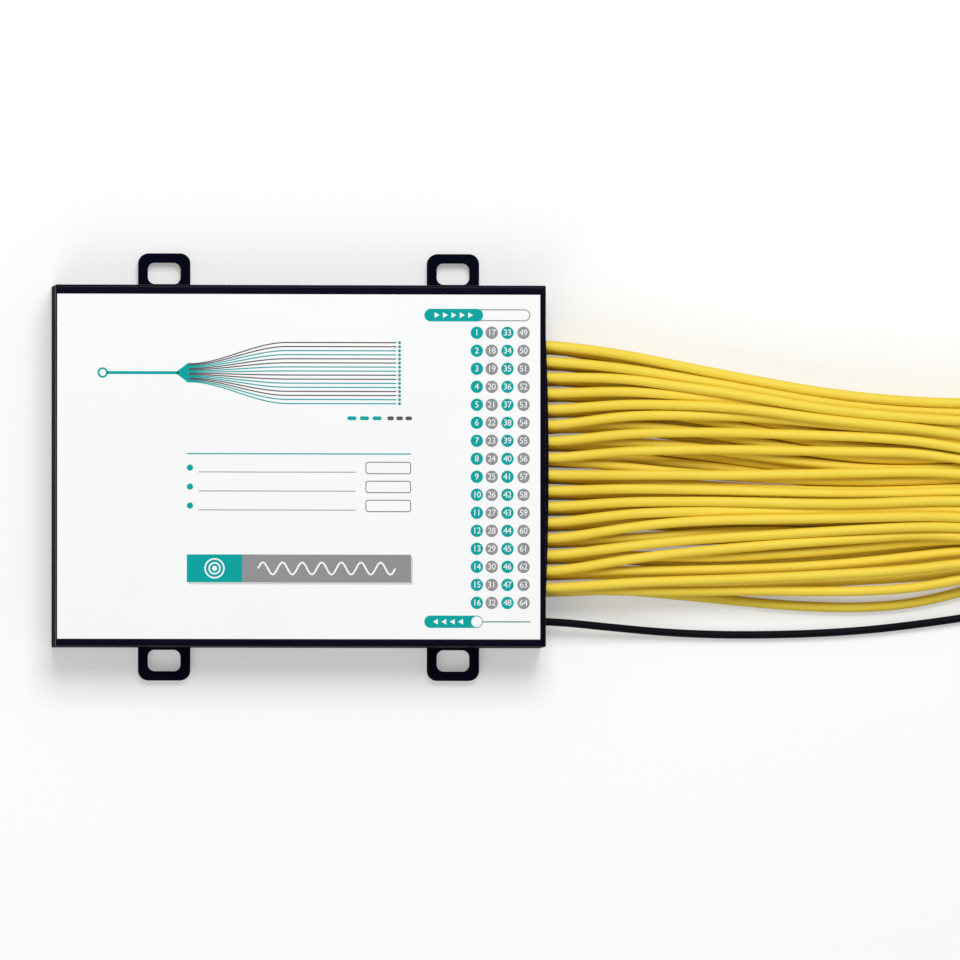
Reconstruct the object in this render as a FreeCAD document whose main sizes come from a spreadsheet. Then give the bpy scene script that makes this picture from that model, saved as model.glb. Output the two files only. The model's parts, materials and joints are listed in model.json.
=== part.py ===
# Planar lightwave circuit splitter, one fibre in and sixty-four out, in a flat plastic case with four
# mounting ears and pre-terminated cables. Millimetres, +Z up, the case lies label up on its back.
import FreeCAD, Part, Sketcher
import math
import os

V = FreeCAD.Vector
doc = FreeCAD.newDocument("fibre_splitter")

# ---------------------------------------------------------------- driving dimensions
SIZES = [
    ("case_length", 140.0), ("case_width", 103.0), ("case_height", 18.0), ("wall", 2.0),
    ("floor_thickness", 2.0), ("lid_thickness", 2.0), ("edge_break", 0.5),
    ("label_left", 0.43), ("label_right", 1.67), ("label_front", 2.14), ("label_rear", 2.66),
    ("label_thickness", 0.4),
    ("ear_length", 14.8), ("ear_reach", 9.4), ("ear_thickness", 3.0), ("ear_corner", 2.9),
    ("ear_spacing", 82.6), ("ear_shift", 3.4), ("slot_length", 9.5), ("slot_width", 6.1),
    ("slot_corner", 2.0), ("slot_outset", 3.7),
    ("screw_inset", 5.5), ("screw_right", 26.0), ("screw_side", 4.0), ("boss_diameter", 7.0),
    ("base_boss_height", 4.0), ("screw_shank", 2.9),
    ("screw_head", 5.4), ("screw_head_height", 2.2), ("screw_length", 10.0), ("head_clearance", 0.15),
    ("head_recess", 0.6), ("shank_clearance", 0.15),
    ("plate_width", 79.0), ("plate_thickness", 4.0), ("plate_bulge", 0.9), ("plate_clearance", 0.1),
    ("plate_flange", 2.0),
    ("cable_diameter", 2.8), ("bore_clearance", 0.2), ("row_pitch", 4.627), ("level_pitch", 3.2),
    ("first_level", 4.4), ("level_shift", 0.3), ("output_rows", 16), ("output_levels", 4),
    ("input_diameter", 2.2), ("input_place", 43.9), ("input_level", 6.0),
    ("bush_diameter", 3.6), ("bush_length", 5.0), ("anchor_depth", 6.0), ("anchor_gap", 2.0),
    ("exit_run", 2.5), ("anchor_width", 78.0), ("input_anchor_width", 6.6), ("input_anchor_height", 8.0),
    ("buffer_diameter", 0.9),
    ("housing_length", 60.0), ("housing_width", 12.0), ("housing_height", 4.0), ("housing_wall", 0.6),
    ("housing_share", 0.474), ("boot_length", 4.0), ("pad_height", 6.0), ("pad_width", 16.0),
    ("carrier_thickness", 0.5), ("carrier_width", 8.0), ("carrier_length", 46.0),
    ("chip_length", 20.0), ("chip_width", 5.5), ("chip_height", 1.8),
    ("input_array_length", 8.0), ("output_array_length", 10.0), ("output_array_width", 9.2),
    ("ribbon_thickness", 0.3), ("ribbon_width", 1.0), ("ribbon_pitch", 1.06), ("bare_fibre", 0.25),
    ("block_length", 10.0), ("block_width", 6.4), ("block_height", 4.6), ("block_gap", 10.0),
    ("block_pad_height", 4.4), ("fanout_pitch", 1.1),
    ("bundle_radius", 14.3), ("bundle_height", 15.6), ("fold_radius", 22.0),
    ("strap_width", 12.0), ("strap_thickness", 1.0), ("strap_clearance", 0.05),
    ("plug_pitch", 7.5), ("plug_level_pitch", 9.1), ("plug_width", 7.4), ("plug_height", 9.0),
    ("plug_length", 25.0), ("plug_bevel", 0.8), ("boot_start_diameter", 3.8), ("boot_end_diameter", 6.4),
    ("plug_boot_length", 28.0), ("ferrule_diameter", 2.5), ("ferrule_length", 10.0),
    ("cap_diameter", 4.2), ("cap_length", 9.0), ("cap_gap", 0.05), ("nose_bore", 5.4), ("nose_depth", 6.0),
]
sheet = doc.addObject("Spreadsheet::Sheet", "Sizes")
for line, (alias, value) in enumerate(SIZES, start=1):
    sheet.set(f"A{line}", alias)
    sheet.set(f"B{line}", str(value))
    sheet.setAlias(f"B{line}", alias)
doc.recompute()
SIZE = {alias: float(sheet.get(alias)) for alias, _ in SIZES}


def bind(expression):
    """Turns the plain names of an expression into cells of the sheet."""
    words = sorted(SIZE, key=len, reverse=True)
    out = expression
    for number, word in enumerate(words):
        out = out.replace(word, f"@{number}@")
    for number, word in enumerate(words):
        out = out.replace(f"@{number}@", f"Sizes.{word}")
    return out


def worth(expression):
    """The value of an expression of the sheet's names, in millimetres."""
    probe = doc.getObject("probe") or doc.addObject("App::FeaturePython", "probe")
    if "value" not in probe.PropertiesList:
        probe.addProperty("App::PropertyFloat", "value")
    probe.setExpression("value", bind(expression))
    probe.recompute()
    return probe.value


def tie(target, **expressions):
    """Binds properties to expressions of the sheet's names; a double underscore stands for a dot."""
    for name, expression in expressions.items():
        target.setExpression(name.replace("__", "."), bind(expression))
    return target


def place(target, x="0", y="0", z="0"):
    """Binds the place of an object's own corner or centre."""
    return tie(target, Placement__Base__x=x, Placement__Base__y=y, Placement__Base__z=z)


# ---------------------------------------------------------------- small builders
def block(name, length, width, height, x, y, z):
    """A box centred on x and y that stands on z."""
    made = doc.addObject("Part::Box", name)
    tie(made, Length=length, Width=width, Height=height)
    return place(made, f"({x}) - ({length}) / 2", f"({y}) - ({width}) / 2", z)


def peg(name, diameter, height, x, y, z):
    """An upright cylinder that stands on z."""
    made = doc.addObject("Part::Cylinder", name)
    tie(made, Radius=f"({diameter}) / 2", Height=height)
    return place(made, x, y, z)


def joined(kind, name, first, second):
    """A boolean of two objects: Part::Cut, Part::Fuse or Part::Common."""
    made = doc.addObject(kind, name)
    made.Base = first
    made.Tool = second
    return made


def group(name, members):
    """Separate like solids kept in one object."""
    made = doc.addObject("Part::Compound", name)
    made.Links = members
    return made


def solid(name, shape):
    """An object whose shape is worked out here from the sheet's values."""
    made = doc.addObject("Part::Feature", name)
    made.Shape = shape
    return made


def sketch_on(body, plane, name):
    """A sketch on one of a body's own origin planes."""
    made = body.newObject("Sketcher::SketchObject", name)
    origin = [o for o in body.Origin.OriginFeatures if o.Role == plane][0]
    made.AttachmentSupport = [(origin, "")]
    made.MapMode = "FlatFace"
    return made


def tied(sketch, constraint, expression):
    """Adds a dimension to a sketch and binds it to an expression."""
    number = sketch.addConstraint(Sketcher.Constraint(*constraint, worth(expression)))
    name = f"size_{number}"
    sketch.renameConstraint(number, name)
    sketch.setExpression(f"Constraints.{name}", bind(expression))


def rectangle(sketch, left, right, low, high):
    """A rectangle by its four sides, each an expression."""
    x0, x1, y0, y1 = (worth(side) for side in (left, right, low, high))
    corners = [V(x0, y0, 0), V(x1, y0, 0), V(x1, y1, 0), V(x0, y1, 0)]
    first = sketch.GeometryCount
    for k in range(4):
        sketch.addGeometry(Part.LineSegment(corners[k], corners[(k + 1) % 4]), False)
    for k in range(4):
        sketch.addConstraint(Sketcher.Constraint("Coincident", first + k, 2, first + (k + 1) % 4, 1))
        sketch.addConstraint(Sketcher.Constraint("Vertical" if k % 2 else "Horizontal", first + k))
    tied(sketch, ("DistanceX", -1, 1, first, 1), left)
    tied(sketch, ("DistanceX", -1, 1, first + 1, 1), right)
    tied(sketch, ("DistanceY", -1, 1, first, 1), low)
    tied(sketch, ("DistanceY", -1, 1, first + 2, 1), high)


def circle(sketch, x, y, diameter):
    """A circle by its centre and diameter, each an expression."""
    round_line = Part.Circle(V(worth(x), worth(y), 0), V(0, 0, 1), worth(diameter) / 2)
    number = sketch.addGeometry(round_line, False)
    tied(sketch, ("DistanceX", -1, 1, number, 3), x)
    tied(sketch, ("DistanceY", -1, 1, number, 3), y)
    tied(sketch, ("Diameter", number), diameter)


def feature(body, kind, name, sketch, length=None, **settings):
    """A pad or pocket of a sketch; settings are set before it is computed."""
    made = body.newObject(kind, name)
    made.Profile = sketch
    for key, value in settings.items():
        setattr(made, key, value)
    if length:
        made.setExpression("Length", bind(length))
    doc.recompute()
    return made


def rounded(body, name, base, radius, chosen):
    """A fillet of the upright edges whose middle passes the test."""
    names = []
    for number, edge in enumerate(base.Shape.Edges, start=1):
        low, high = edge.BoundBox.ZMin, edge.BoundBox.ZMax
        upright = high - low > 0.1 and edge.BoundBox.XLength < 1e-3 and edge.BoundBox.YLength < 1e-3
        if upright and chosen(edge.CenterOfMass):
            names.append(f"Edge{number}")
    made = body.newObject("PartDesign::Fillet", name)
    made.Base = (base, names)
    made.setExpression("Radius", bind(radius))
    doc.recompute()
    return made


# ---------------------------------------------------------------- shared places
SEAM = "case_height - lid_thickness"
INNER_X = "case_length / 2 - wall"
INNER_Y = "case_width / 2 - wall"
LID_BOSS_FOOT = "floor_thickness + base_boss_height"
LABEL_LENGTH = "(case_length - label_left - label_right)"
LABEL_WIDTH = "(case_width - label_front - label_rear)"
LABEL_X = "(label_left - label_right) / 2"
LABEL_Y = "(label_front - label_rear) / 2"
EAR_SIDES = [-1, 1]
EAR_X = {side: f"ear_shift + ({side}) * ear_spacing / 2" for side in EAR_SIDES}
SLOT_Y = "case_width / 2 + slot_outset"
SCREWS = [(sx, sy) for sx in (-1, 1) for sy in (-1, 1)]


def screw_place(sx, sy):
    """The axis of one case screw; the right pair stands clear of the cables."""
    return (
        "case_length / 2 - screw_right" if sx > 0 else "screw_inset + wall - case_length / 2",
        f"({sy}) * (case_width / 2 - wall - screw_side)",
    )


# ---------------------------------------------------------------- case
def base_shell():
    """Moulded tray with its ears, screw bosses and the window for the exit plate."""
    body = doc.addObject("PartDesign::Body", "base_shell")
    outline = sketch_on(body, "XY_Plane", "base_outline")
    rectangle(outline, "-case_length / 2", "case_length / 2", "-case_width / 2", "case_width / 2")
    feature(body, "PartDesign::Pad", "base_block", outline, SEAM)

    ears = sketch_on(body, "XY_Plane", "ear_outlines")
    for side in EAR_SIDES:
        left = f"{EAR_X[side]} - ear_length / 2"
        right = f"{EAR_X[side]} + ear_length / 2"
        rectangle(ears, left, right, "-case_width / 2 - ear_reach", "-case_width / 2 + wall / 2")
        rectangle(ears, left, right, "case_width / 2 - wall / 2", "case_width / 2 + ear_reach")
    ear_pad = feature(body, "PartDesign::Pad", "ears", ears, "ear_thickness")
    reach = worth("case_width / 2 + ear_reach")
    corner = rounded(body, "ear_corners", ear_pad, "ear_corner", lambda p: abs(abs(p.y) - reach) < 0.01)

    slots = sketch_on(body, "XY_Plane", "ear_slots")
    for side in EAR_SIDES:
        left = f"{EAR_X[side]} - slot_length / 2"
        right = f"{EAR_X[side]} + slot_length / 2"
        rectangle(slots, left, right, f"-({SLOT_Y}) - slot_width / 2", f"-({SLOT_Y}) + slot_width / 2")
        rectangle(slots, left, right, f"{SLOT_Y} - slot_width / 2", f"{SLOT_Y} + slot_width / 2")
    slot_cut = feature(body, "PartDesign::Pocket", "slots", slots, "ear_thickness * 2", Reversed=True)
    middle = worth(SLOT_Y)
    half = worth("slot_width") / 2
    rounded(body, "slot_corners", slot_cut, "slot_corner",
            lambda p: abs(abs(abs(p.y) - middle) - half) < 0.01)

    hollow = sketch_on(body, "XY_Plane", "inside")
    hollow.setExpression("AttachmentOffset.Base.z", bind("floor_thickness"))
    rectangle(hollow, f"-({INNER_X})", INNER_X, f"-({INNER_Y})", INNER_Y)
    feature(body, "PartDesign::Pocket", "inside_cut", hollow, SEAM, Reversed=True)

    window = sketch_on(body, "XY_Plane", "plate_window")
    window.setExpression("AttachmentOffset.Base.z", bind("floor_thickness"))
    edge = "plate_width / 2 + plate_clearance"
    rectangle(window, "case_length / 2 - wall * 1.5", "case_length / 2 + wall", f"-({edge})", edge)
    feature(body, "PartDesign::Pocket", "window_cut", window, SEAM, Reversed=True)

    bosses = sketch_on(body, "XY_Plane", "boss_outlines")
    for sx, sy in SCREWS:
        x, y = screw_place(sx, sy)
        circle(bosses, x, y, "boss_diameter + wall")
    feature(body, "PartDesign::Pad", "bosses", bosses, "floor_thickness + base_boss_height")

    heads = sketch_on(body, "XY_Plane", "head_pockets")
    shanks = sketch_on(body, "XY_Plane", "shank_holes")
    for sx, sy in SCREWS:
        x, y = screw_place(sx, sy)
        circle(heads, x, y, "screw_head + 2 * head_clearance")
        circle(shanks, x, y, "screw_shank + 2 * shank_clearance")
    feature(body, "PartDesign::Pocket", "head_cut", heads, "head_recess + screw_head_height", Reversed=True)
    feature(body, "PartDesign::Pocket", "shank_cut", shanks, SEAM, Reversed=True)

    port = sketch_on(body, "YZ_Plane", "input_port")
    port.setExpression("AttachmentOffset.Base.z", bind(f"{INNER_X} - wall / 2"))
    circle(port, "-input_place", "input_level", "bush_diameter")
    feature(body, "PartDesign::Pocket", "port_cut", port, "wall * 3", Reversed=True)
    return body


def lid():
    """Top cover with its broken edge, label recess and four screw bosses."""
    body = doc.addObject("PartDesign::Body", "lid")
    outline = sketch_on(body, "XY_Plane", "lid_outline")
    outline.setExpression("AttachmentOffset.Base.z", bind(SEAM))
    rectangle(outline, "-case_length / 2", "case_length / 2", "-case_width / 2", "case_width / 2")
    plate = feature(body, "PartDesign::Pad", "lid_plate", outline, "lid_thickness")
    top = worth("case_height")
    names = [
        f"Edge{k}" for k, e in enumerate(plate.Shape.Edges, start=1)
        if abs(e.BoundBox.ZMin - top) < 1e-3 and abs(e.BoundBox.ZMax - top) < 1e-3
    ]
    broken = body.newObject("PartDesign::Chamfer", "lid_edge")
    broken.Base = (plate, names)
    broken.setExpression("Size", bind("edge_break"))
    doc.recompute()

    recess = sketch_on(body, "XY_Plane", "label_recess")
    recess.setExpression("AttachmentOffset.Base.z", bind("case_height"))
    rectangle(recess, "label_left - case_length / 2", "case_length / 2 - label_right",
              "label_front - case_width / 2", "case_width / 2 - label_rear")
    feature(body, "PartDesign::Pocket", "recess_cut", recess, "label_thickness")

    bosses = sketch_on(body, "XY_Plane", "lid_bosses")
    bosses.setExpression("AttachmentOffset.Base.z", bind(SEAM))
    pilots = sketch_on(body, "XY_Plane", "lid_pilots")
    pilots.setExpression("AttachmentOffset.Base.z", bind(LID_BOSS_FOOT))
    for sx, sy in SCREWS:
        x, y = screw_place(sx, sy)
        circle(bosses, x, y, "boss_diameter")
        circle(pilots, x, y, "screw_shank")
    feature(body, "PartDesign::Pad", "boss_pads", bosses, f"{SEAM} - ({LID_BOSS_FOOT})", Reversed=True)
    feature(body, "PartDesign::Pocket", "pilot_cut", pilots, "screw_length", Reversed=True)
    return body


def face_label():
    """White label plate that fills the lid's recess."""
    return block("face_label", LABEL_LENGTH, LABEL_WIDTH, "label_thickness",
                 LABEL_X, LABEL_Y, "case_height - label_thickness")


def case_screws():
    """Four self-tapping screws that come up through the base into the lid's bosses."""
    screws = []
    for number, (sx, sy) in enumerate(SCREWS, start=1):
        x, y = screw_place(sx, sy)
        head = peg(f"screw_head_{number}", "screw_head", "screw_head_height", x, y, "head_recess")
        shank = peg(f"screw_shank_{number}", "screw_shank", "screw_length + screw_head_height",
                    x, y, "head_recess")
        screws.append(joined("Part::Fuse", f"screw_{number}", head, shank))
    return group("case_screws", screws)


def hole_y(row, level):
    """The place of one exit hole across the case, as an expression; each lower level stands further down."""
    return f"((output_rows - 1) / 2 - {row}) * row_pitch - (output_levels - 1 - {level}) * level_shift"


def level_z(level):
    """The height of one level of exit holes, as an expression."""
    return f"first_level + {level} * level_pitch"


def exit_plate():
    """Plate with a bowed outer face and one hole for each output cable."""
    body = doc.addObject("PartDesign::Body", "exit_plate")
    outline = sketch_on(body, "XY_Plane", "plate_outline")
    outline.setExpression("AttachmentOffset.Base.z", bind("floor_thickness"))
    back = worth("case_length / 2 - plate_thickness")
    front = worth("case_length / 2")
    half = worth("plate_width / 2")
    crown = worth("case_length / 2 + plate_bulge")
    sides = [
        Part.LineSegment(V(back, -half, 0), V(front, -half, 0)),
        Part.Arc(V(front, -half, 0), V(crown, 0, 0), V(front, half, 0)),
        Part.LineSegment(V(front, half, 0), V(back, half, 0)),
        Part.LineSegment(V(back, half, 0), V(back, -half, 0)),
    ]
    for side in sides:
        outline.addGeometry(side, False)
    for first, second in (((0, 2), (1, 1)), ((1, 2), (2, 1)), ((2, 2), (3, 1)), ((3, 2), (0, 1))):
        outline.addConstraint(Sketcher.Constraint("Coincident", *first, *second))
    outline.addConstraint(Sketcher.Constraint("Horizontal", 0))
    outline.addConstraint(Sketcher.Constraint("Horizontal", 2))
    outline.addConstraint(Sketcher.Constraint("Vertical", 3))
    tied(outline, ("DistanceX", -1, 1, 0, 1), "case_length / 2 - plate_thickness")
    tied(outline, ("DistanceY", -1, 1, 0, 1), "-plate_width / 2")
    tied(outline, ("DistanceY", -1, 1, 2, 1), "plate_width / 2")
    tied(outline, ("DistanceX", -1, 1, 0, 2), "case_length / 2")
    tied(outline, ("DistanceX", -1, 1, 2, 1), "case_length / 2")
    bow = "(plate_width * plate_width / 4 + plate_bulge * plate_bulge) / (2 * plate_bulge)"
    tied(outline, ("Radius", 1), bow)
    feature(body, "PartDesign::Pad", "plate_pad", outline, f"{SEAM} - floor_thickness")

    flange = sketch_on(body, "XY_Plane", "flange_outline")
    flange.setExpression("AttachmentOffset.Base.z", bind("floor_thickness"))
    edge = "plate_width / 2 + plate_flange"
    rectangle(flange, "case_length / 2 - plate_thickness", "case_length / 2 - wall", f"-({edge})", edge)
    feature(body, "PartDesign::Pad", "flange_pad", flange, f"{SEAM} - floor_thickness")

    holes = sketch_on(body, "YZ_Plane", "first_row")
    holes.setExpression("AttachmentOffset.Base.z", bind("case_length / 2 + plate_bulge * 2"))
    for level in range(int(SIZE["output_levels"])):
        circle(holes, hole_y("(output_rows - 1)", level), level_z(level), "cable_diameter + bore_clearance")
    cut = feature(body, "PartDesign::Pocket", "hole_cut", holes, "plate_thickness + plate_bulge * 4")
    rows = body.newObject("PartDesign::LinearPattern", "hole_rows")
    rows.Originals = [cut]
    rows.Direction = (holes, ["H_Axis"])
    rows.setExpression("Length", bind("(output_rows - 1) * row_pitch"))
    rows.setExpression("Occurrences", bind("output_rows"))
    body.Tip = rows
    doc.recompute()
    return body


def input_bush():
    """Rubber bush that carries the input cable through the wall."""
    outer = peg("bush_outer", "bush_diameter", "bush_length", "0", "0", "0")
    bore = peg("bush_bore", "input_diameter", "bush_length", "0", "0", "0")
    made = joined("Part::Cut", "input_bush", outer, bore)
    made.Placement = FreeCAD.Placement(V(0, 0, 0), FreeCAD.Rotation(V(0, 1, 0), 90))
    return place(made, "case_length / 2 + wall / 4 - bush_length", "-input_place", "input_level")


# ---------------------------------------------------------------- optics inside the case
AXIS_Z = "floor_thickness + pad_height + housing_height / 2"
CORE_FLOOR = "floor_thickness + pad_height + housing_wall"
ANCHOR_START = "(case_length / 2 - plate_thickness - anchor_gap - anchor_depth)"
BLOCK_START = f"({ANCHOR_START} - block_gap - block_length)"
# The housing and its boots share the free length between the left wall and the blocks.
TURN_ROOM = f"(({BLOCK_START} + {INNER_X} - housing_length - 2 * boot_length) * housing_share)"
HOUSING_START = f"({TURN_ROOM} + boot_length - ({INNER_X}))"
HOUSING_END = f"({HOUSING_START} + housing_length)"
ARRAY_START = f"({HOUSING_START} + (housing_length - carrier_length) / 2 + 4)"
CHIP_START = f"({ARRAY_START} + input_array_length)"
OUTPUT_START = f"({CHIP_START} + chip_length)"


def splitter_housing():
    """Square steel tube that protects the chip."""
    outer = block("housing_outer", "housing_length", "housing_width", "housing_height",
                  f"{HOUSING_START} + housing_length / 2", "0", "floor_thickness + pad_height")
    inner = block("housing_inner", "housing_length", "housing_width - 2 * housing_wall",
                  "housing_height - 2 * housing_wall",
                  f"{HOUSING_START} + housing_length / 2", "0", CORE_FLOOR)
    return joined("Part::Cut", "splitter_housing", outer, inner)


def housing_boots():
    """Rubber end plugs of the housing, one with the input fibre and one with the ribbons through it."""
    width = "housing_width - 2 * housing_wall"
    height = "housing_height - 2 * housing_wall"
    left = block("boot_left_full", "boot_length * 1.5", width, height,
                 f"{HOUSING_START} - boot_length / 4", "0", CORE_FLOOR)
    fibre = peg("boot_left_bore", "bare_fibre", "boot_length * 2", "0", "0", "0")
    fibre.Placement = FreeCAD.Placement(V(0, 0, 0), FreeCAD.Rotation(V(0, 1, 0), 90))
    place(fibre, f"{HOUSING_START} - boot_length * 1.2", "0", AXIS_Z)
    right = block("boot_right_full", "boot_length * 1.5", width, height,
                  f"{HOUSING_END} + boot_length / 4", "0", CORE_FLOOR)
    slot = block("boot_right_slot", "boot_length * 2", "7 * ribbon_pitch + ribbon_width", "ribbon_thickness",
                 f"{HOUSING_END} + boot_length / 4", "0", f"{AXIS_Z} - ribbon_thickness / 2")
    return group("housing_boots", [
        joined("Part::Cut", "boot_left", left, fibre),
        joined("Part::Cut", "boot_right", right, slot),
    ])


def fibre_ribbons():
    """Eight ribbons of eight fibres, side by side at the output array, that fan to the blocks."""
    start = worth(f"{OUTPUT_START} + output_array_length")
    leave = worth(f"{HOUSING_END} + boot_length * 1.25")
    end = worth(BLOCK_START)
    low = worth(f"{AXIS_Z} - ribbon_thickness / 2")
    across = V(0, SIZE["ribbon_width"] / 2, 0)
    ribbons = []
    for number in range(8):
        inner = (3.5 - number) * SIZE["ribbon_pitch"]
        outer = block_y(number)
        span = end - 2 - leave
        path = [V(start, inner, low)]
        for step in range(13):
            part = step / 12
            blend = part * part * (3 - 2 * part)
            path.append(V(leave + span * part, inner + (outer - inner) * blend, low))
        path.append(V(end, outer, low))
        outline = [p + across for p in path] + [p - across for p in reversed(path)]
        face = Part.Face(Part.makePolygon(outline + outline[:1]))
        ribbons.append(face.extrude(V(0, 0, SIZE["ribbon_thickness"])))
    return solid("fibre_ribbons", Part.makeCompound(ribbons))


def block_y(number):
    """Each fan-out block stands level with the two rows of cables that it serves."""
    return worth(f"((output_rows - 1) / 2 - {2 * number + 0.5}) * row_pitch")


def fanout_blocks():
    """Blocks in which each ribbon is split into eight protected fibres."""
    z = "floor_thickness + block_pad_height"
    blocks = []
    for number in range(8):
        y = f"((output_rows - 1) / 2 - {2 * number + 0.5}) * row_pitch"
        blocks.append(block(f"fanout_block_{number + 1}", "block_length", "block_width", "block_height",
                            f"{BLOCK_START} + block_length / 2", y, z))
    return group("fanout_blocks", blocks)


# ---------------------------------------------------------------- cable routes
# Each route is a list of points; the tube runs straight between them and turns on tangent arcs.
FAN_X = [91.8, 105.9, 120.1, 134.2, 148.4, 162.5, 176.6, 190.8]
TOP_Y = [
    [32.2, 29.5, 26.7, 24.1, 21.6, 19.9, 18.8, 18.4],
    [28.3, 26.1, 23.7, 21.2, 18.8, 17.2, 16.1, 15.5],
    [25.4, 23.4, 21.5, 19.2, 16.8, 15.2, 14.1, 13.2],
    [21.7, 20.7, 19.5, 17.5, 15.7, 14.3, 13.1, 11.1],
    [17.9, 17.8, 17.3, 15.9, 13.9, 12.4, 11.2, 9.2],
    [14.5, 14.9, 14.7, 14.1, 12.8, 11.4, 10.2, 7.4],
    [9.4, 9.9, 10.0, 9.6, 9.2, 8.7, 7.7, 5.3],
    [4.4, 4.9, 5.1, 4.9, 4.7, 4.5, 4.3, 2.4],
    [-2.3, -2.2, -2.3, -2.0, -1.8, -1.5, -1.1, -1.7],
    [-6.2, -6.3, -6.5, -7.0, -7.4, -7.5, -7.2, -6.7],
    [-10.0, -9.8, -9.8, -10.1, -10.4, -10.3, -9.6, -9.4],
    [-13.5, -12.8, -12.6, -12.5, -12.5, -12.3, -11.8, -11.9],
    [-17.6, -15.8, -15.1, -14.8, -14.6, -14.3, -13.9, -14.2],
    [-22.9, -21.3, -20.1, -19.3, -18.4, -17.6, -16.9, -17.0],
    [-26.7, -24.8, -23.4, -22.2, -21.1, -20.2, -19.1, -19.6],
    [-33.2, -32.5, -32.1, -31.5, -30.8, -30.0, -29.0, -27.1],
]
SECOND_Y = [
    [31.1, 27.8, 24.7, 21.6, 18.8, 17.2, 16.9, 17.5],
    [27.7, 24.7, 21.7, 18.7, 15.9, 14.3, 14.0, 14.6],
    [23.9, 21.5, 18.8, 15.8, 13.0, 11.4, 11.1, 11.7],
    [20.2, 18.4, 15.9, 12.9, 10.1, 8.5, 8.2, 8.8],
    [16.4, 15.1, 12.9, 10.0, 7.2, 5.6, 5.3, 5.9],
    [12.3, 11.1, 9.3, 6.7, 4.3, 2.7, 2.4, 3.0],
    [7.3, 6.4, 5.0, 3.0, 1.1, -0.4, -0.5, 0.1],
    [0.2, -1.3, -2.3, -3.1, -3.6, -3.8, -3.5, -2.8],
    [-3.7, -4.5, -5.4, -6.1, -6.6, -6.8, -6.4, -5.7],
    [-7.7, -8.2, -8.7, -9.1, -9.5, -9.7, -9.4, -8.6],
    [-11.5, -11.6, -11.8, -12.1, -12.5, -12.6, -12.3, -11.6],
    [-15.4, -14.9, -14.8, -15.1, -15.4, -15.6, -15.2, -14.5],
    [-20.4, -19.5, -18.4, -18.1, -18.4, -18.6, -18.2, -17.4],
    [-25.2, -25.5, -25.6, -24.9, -23.9, -22.6, -21.1, -20.3],
    [-29.6, -29.5, -29.2, -28.8, -28.0, -26.8, -25.2, -23.6],
    [-35.2, -35.4, -35.2, -35.2, -35.3, -35.2, -34.3, -31.6],
]
STRAY_Y = [-34.7, -36.0, -37.3, -38.7, -39.6, -39.8, -38.6, -35.2]
# Cables of the two lower levels that run apart from the one above them, by level and row.
APART_Y = {
    (1, 7): [3.0, 1.6, 0.1, -1.8, -3.4, -4.8, -4.8, -3.8],
    (0, 6): [5.4, 3.8, 2.0, 0.4, -0.8, -1.6, -1.3, -0.4],
    (0, 7): [1.0, -0.6, -1.6, -2.6, -3.8, -4.5, -4.2, -3.25],
    (1, 15): [-34.6, -34.5, -34.2, -33.7, -32.8, -31.9, -31.2, -29.5],
    (0, 15): STRAY_Y,
}
INPUT_Y = [-45.8, -47.0, -47.6, -47.6, -47.2, -46.3, -44.7, -42.7]
# How far the cables of the two lower levels lie to the side of those in SECOND_Y.
STAGGER = [0.9, 1.7, 2.0, 1.9, 1.6, 1.4, 1.4, 0.9]
UPPER_SHARE = -0.6
LOWER_SHARE = 0.45
SETTLE = [
    [2.7, 1.8, 1.5, 1.5, 1.5, 1.5, 1.5, 1.5],
    [5.8, 4.8, 4.5, 4.5, 4.5, 4.5, 4.5, 4.5],
    [8.9, 7.9, 7.5, 7.5, 7.5, 7.5, 7.5, 7.5],
    [12.1, 11.0, 10.6, 10.5, 10.5, 10.5, 10.5, 10.5],
]
INPUT_Z = [3.4, 1.8, 1.2, 1.2, 1.2, 1.2, 1.2, 1.2]
RIDING = {
    0: [0.0, 0.0, 0.0, 0.0, 0.4, 0.9, 0.9, 0.4],
    2: [0.0, 1.0, 2.1, 2.4, 2.6, 2.7, 2.7, 2.2],
    4: [0.0, 0.6, 1.9, 2.4, 2.7, 2.8, 2.8, 2.2],
    6: [0.0, 0.0, 0.0, 0.0, 0.1, 0.8, 1.5, 2.0],
    10: [0.0, 0.0, 0.6, 1.6, 2.0, 2.0, 1.9, 1.5],
    12: [0.0, 0.0, 1.4, 1.8, 2.0, 2.0, 1.9, 1.7],
    13: [0.0, 0.0, 0.0, 0.0, 0.9, 1.5, 2.0, 1.2],
}
EXIT_X = "case_length / 2 + exit_run"
GATHER_X = [204.0, 217.5, 231.0]
BUNDLE_Y = -4.0
PITCH = 3.05
BAND = 3.0
HALF_GAP = 1.6


def half_rows(row):
    """The side of the bundle's middle that a row lies on, and its count out from there."""
    return (1, 7 - row) if row < 8 else (-1, row - 8)


def fan_y(row, level):
    """The places across of one cable where it fans out from the case."""
    if level == 3:
        return TOP_Y[row]
    if level == 2:
        return SECOND_Y[row]
    if (level, row) in APART_Y:
        return APART_Y[level, row]
    share = 1.0 if level == 1 else UPPER_SHARE if row < 8 else LOWER_SHARE
    return [y - share * step for y, step in zip(SECOND_Y[row], STAGGER)]


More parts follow.
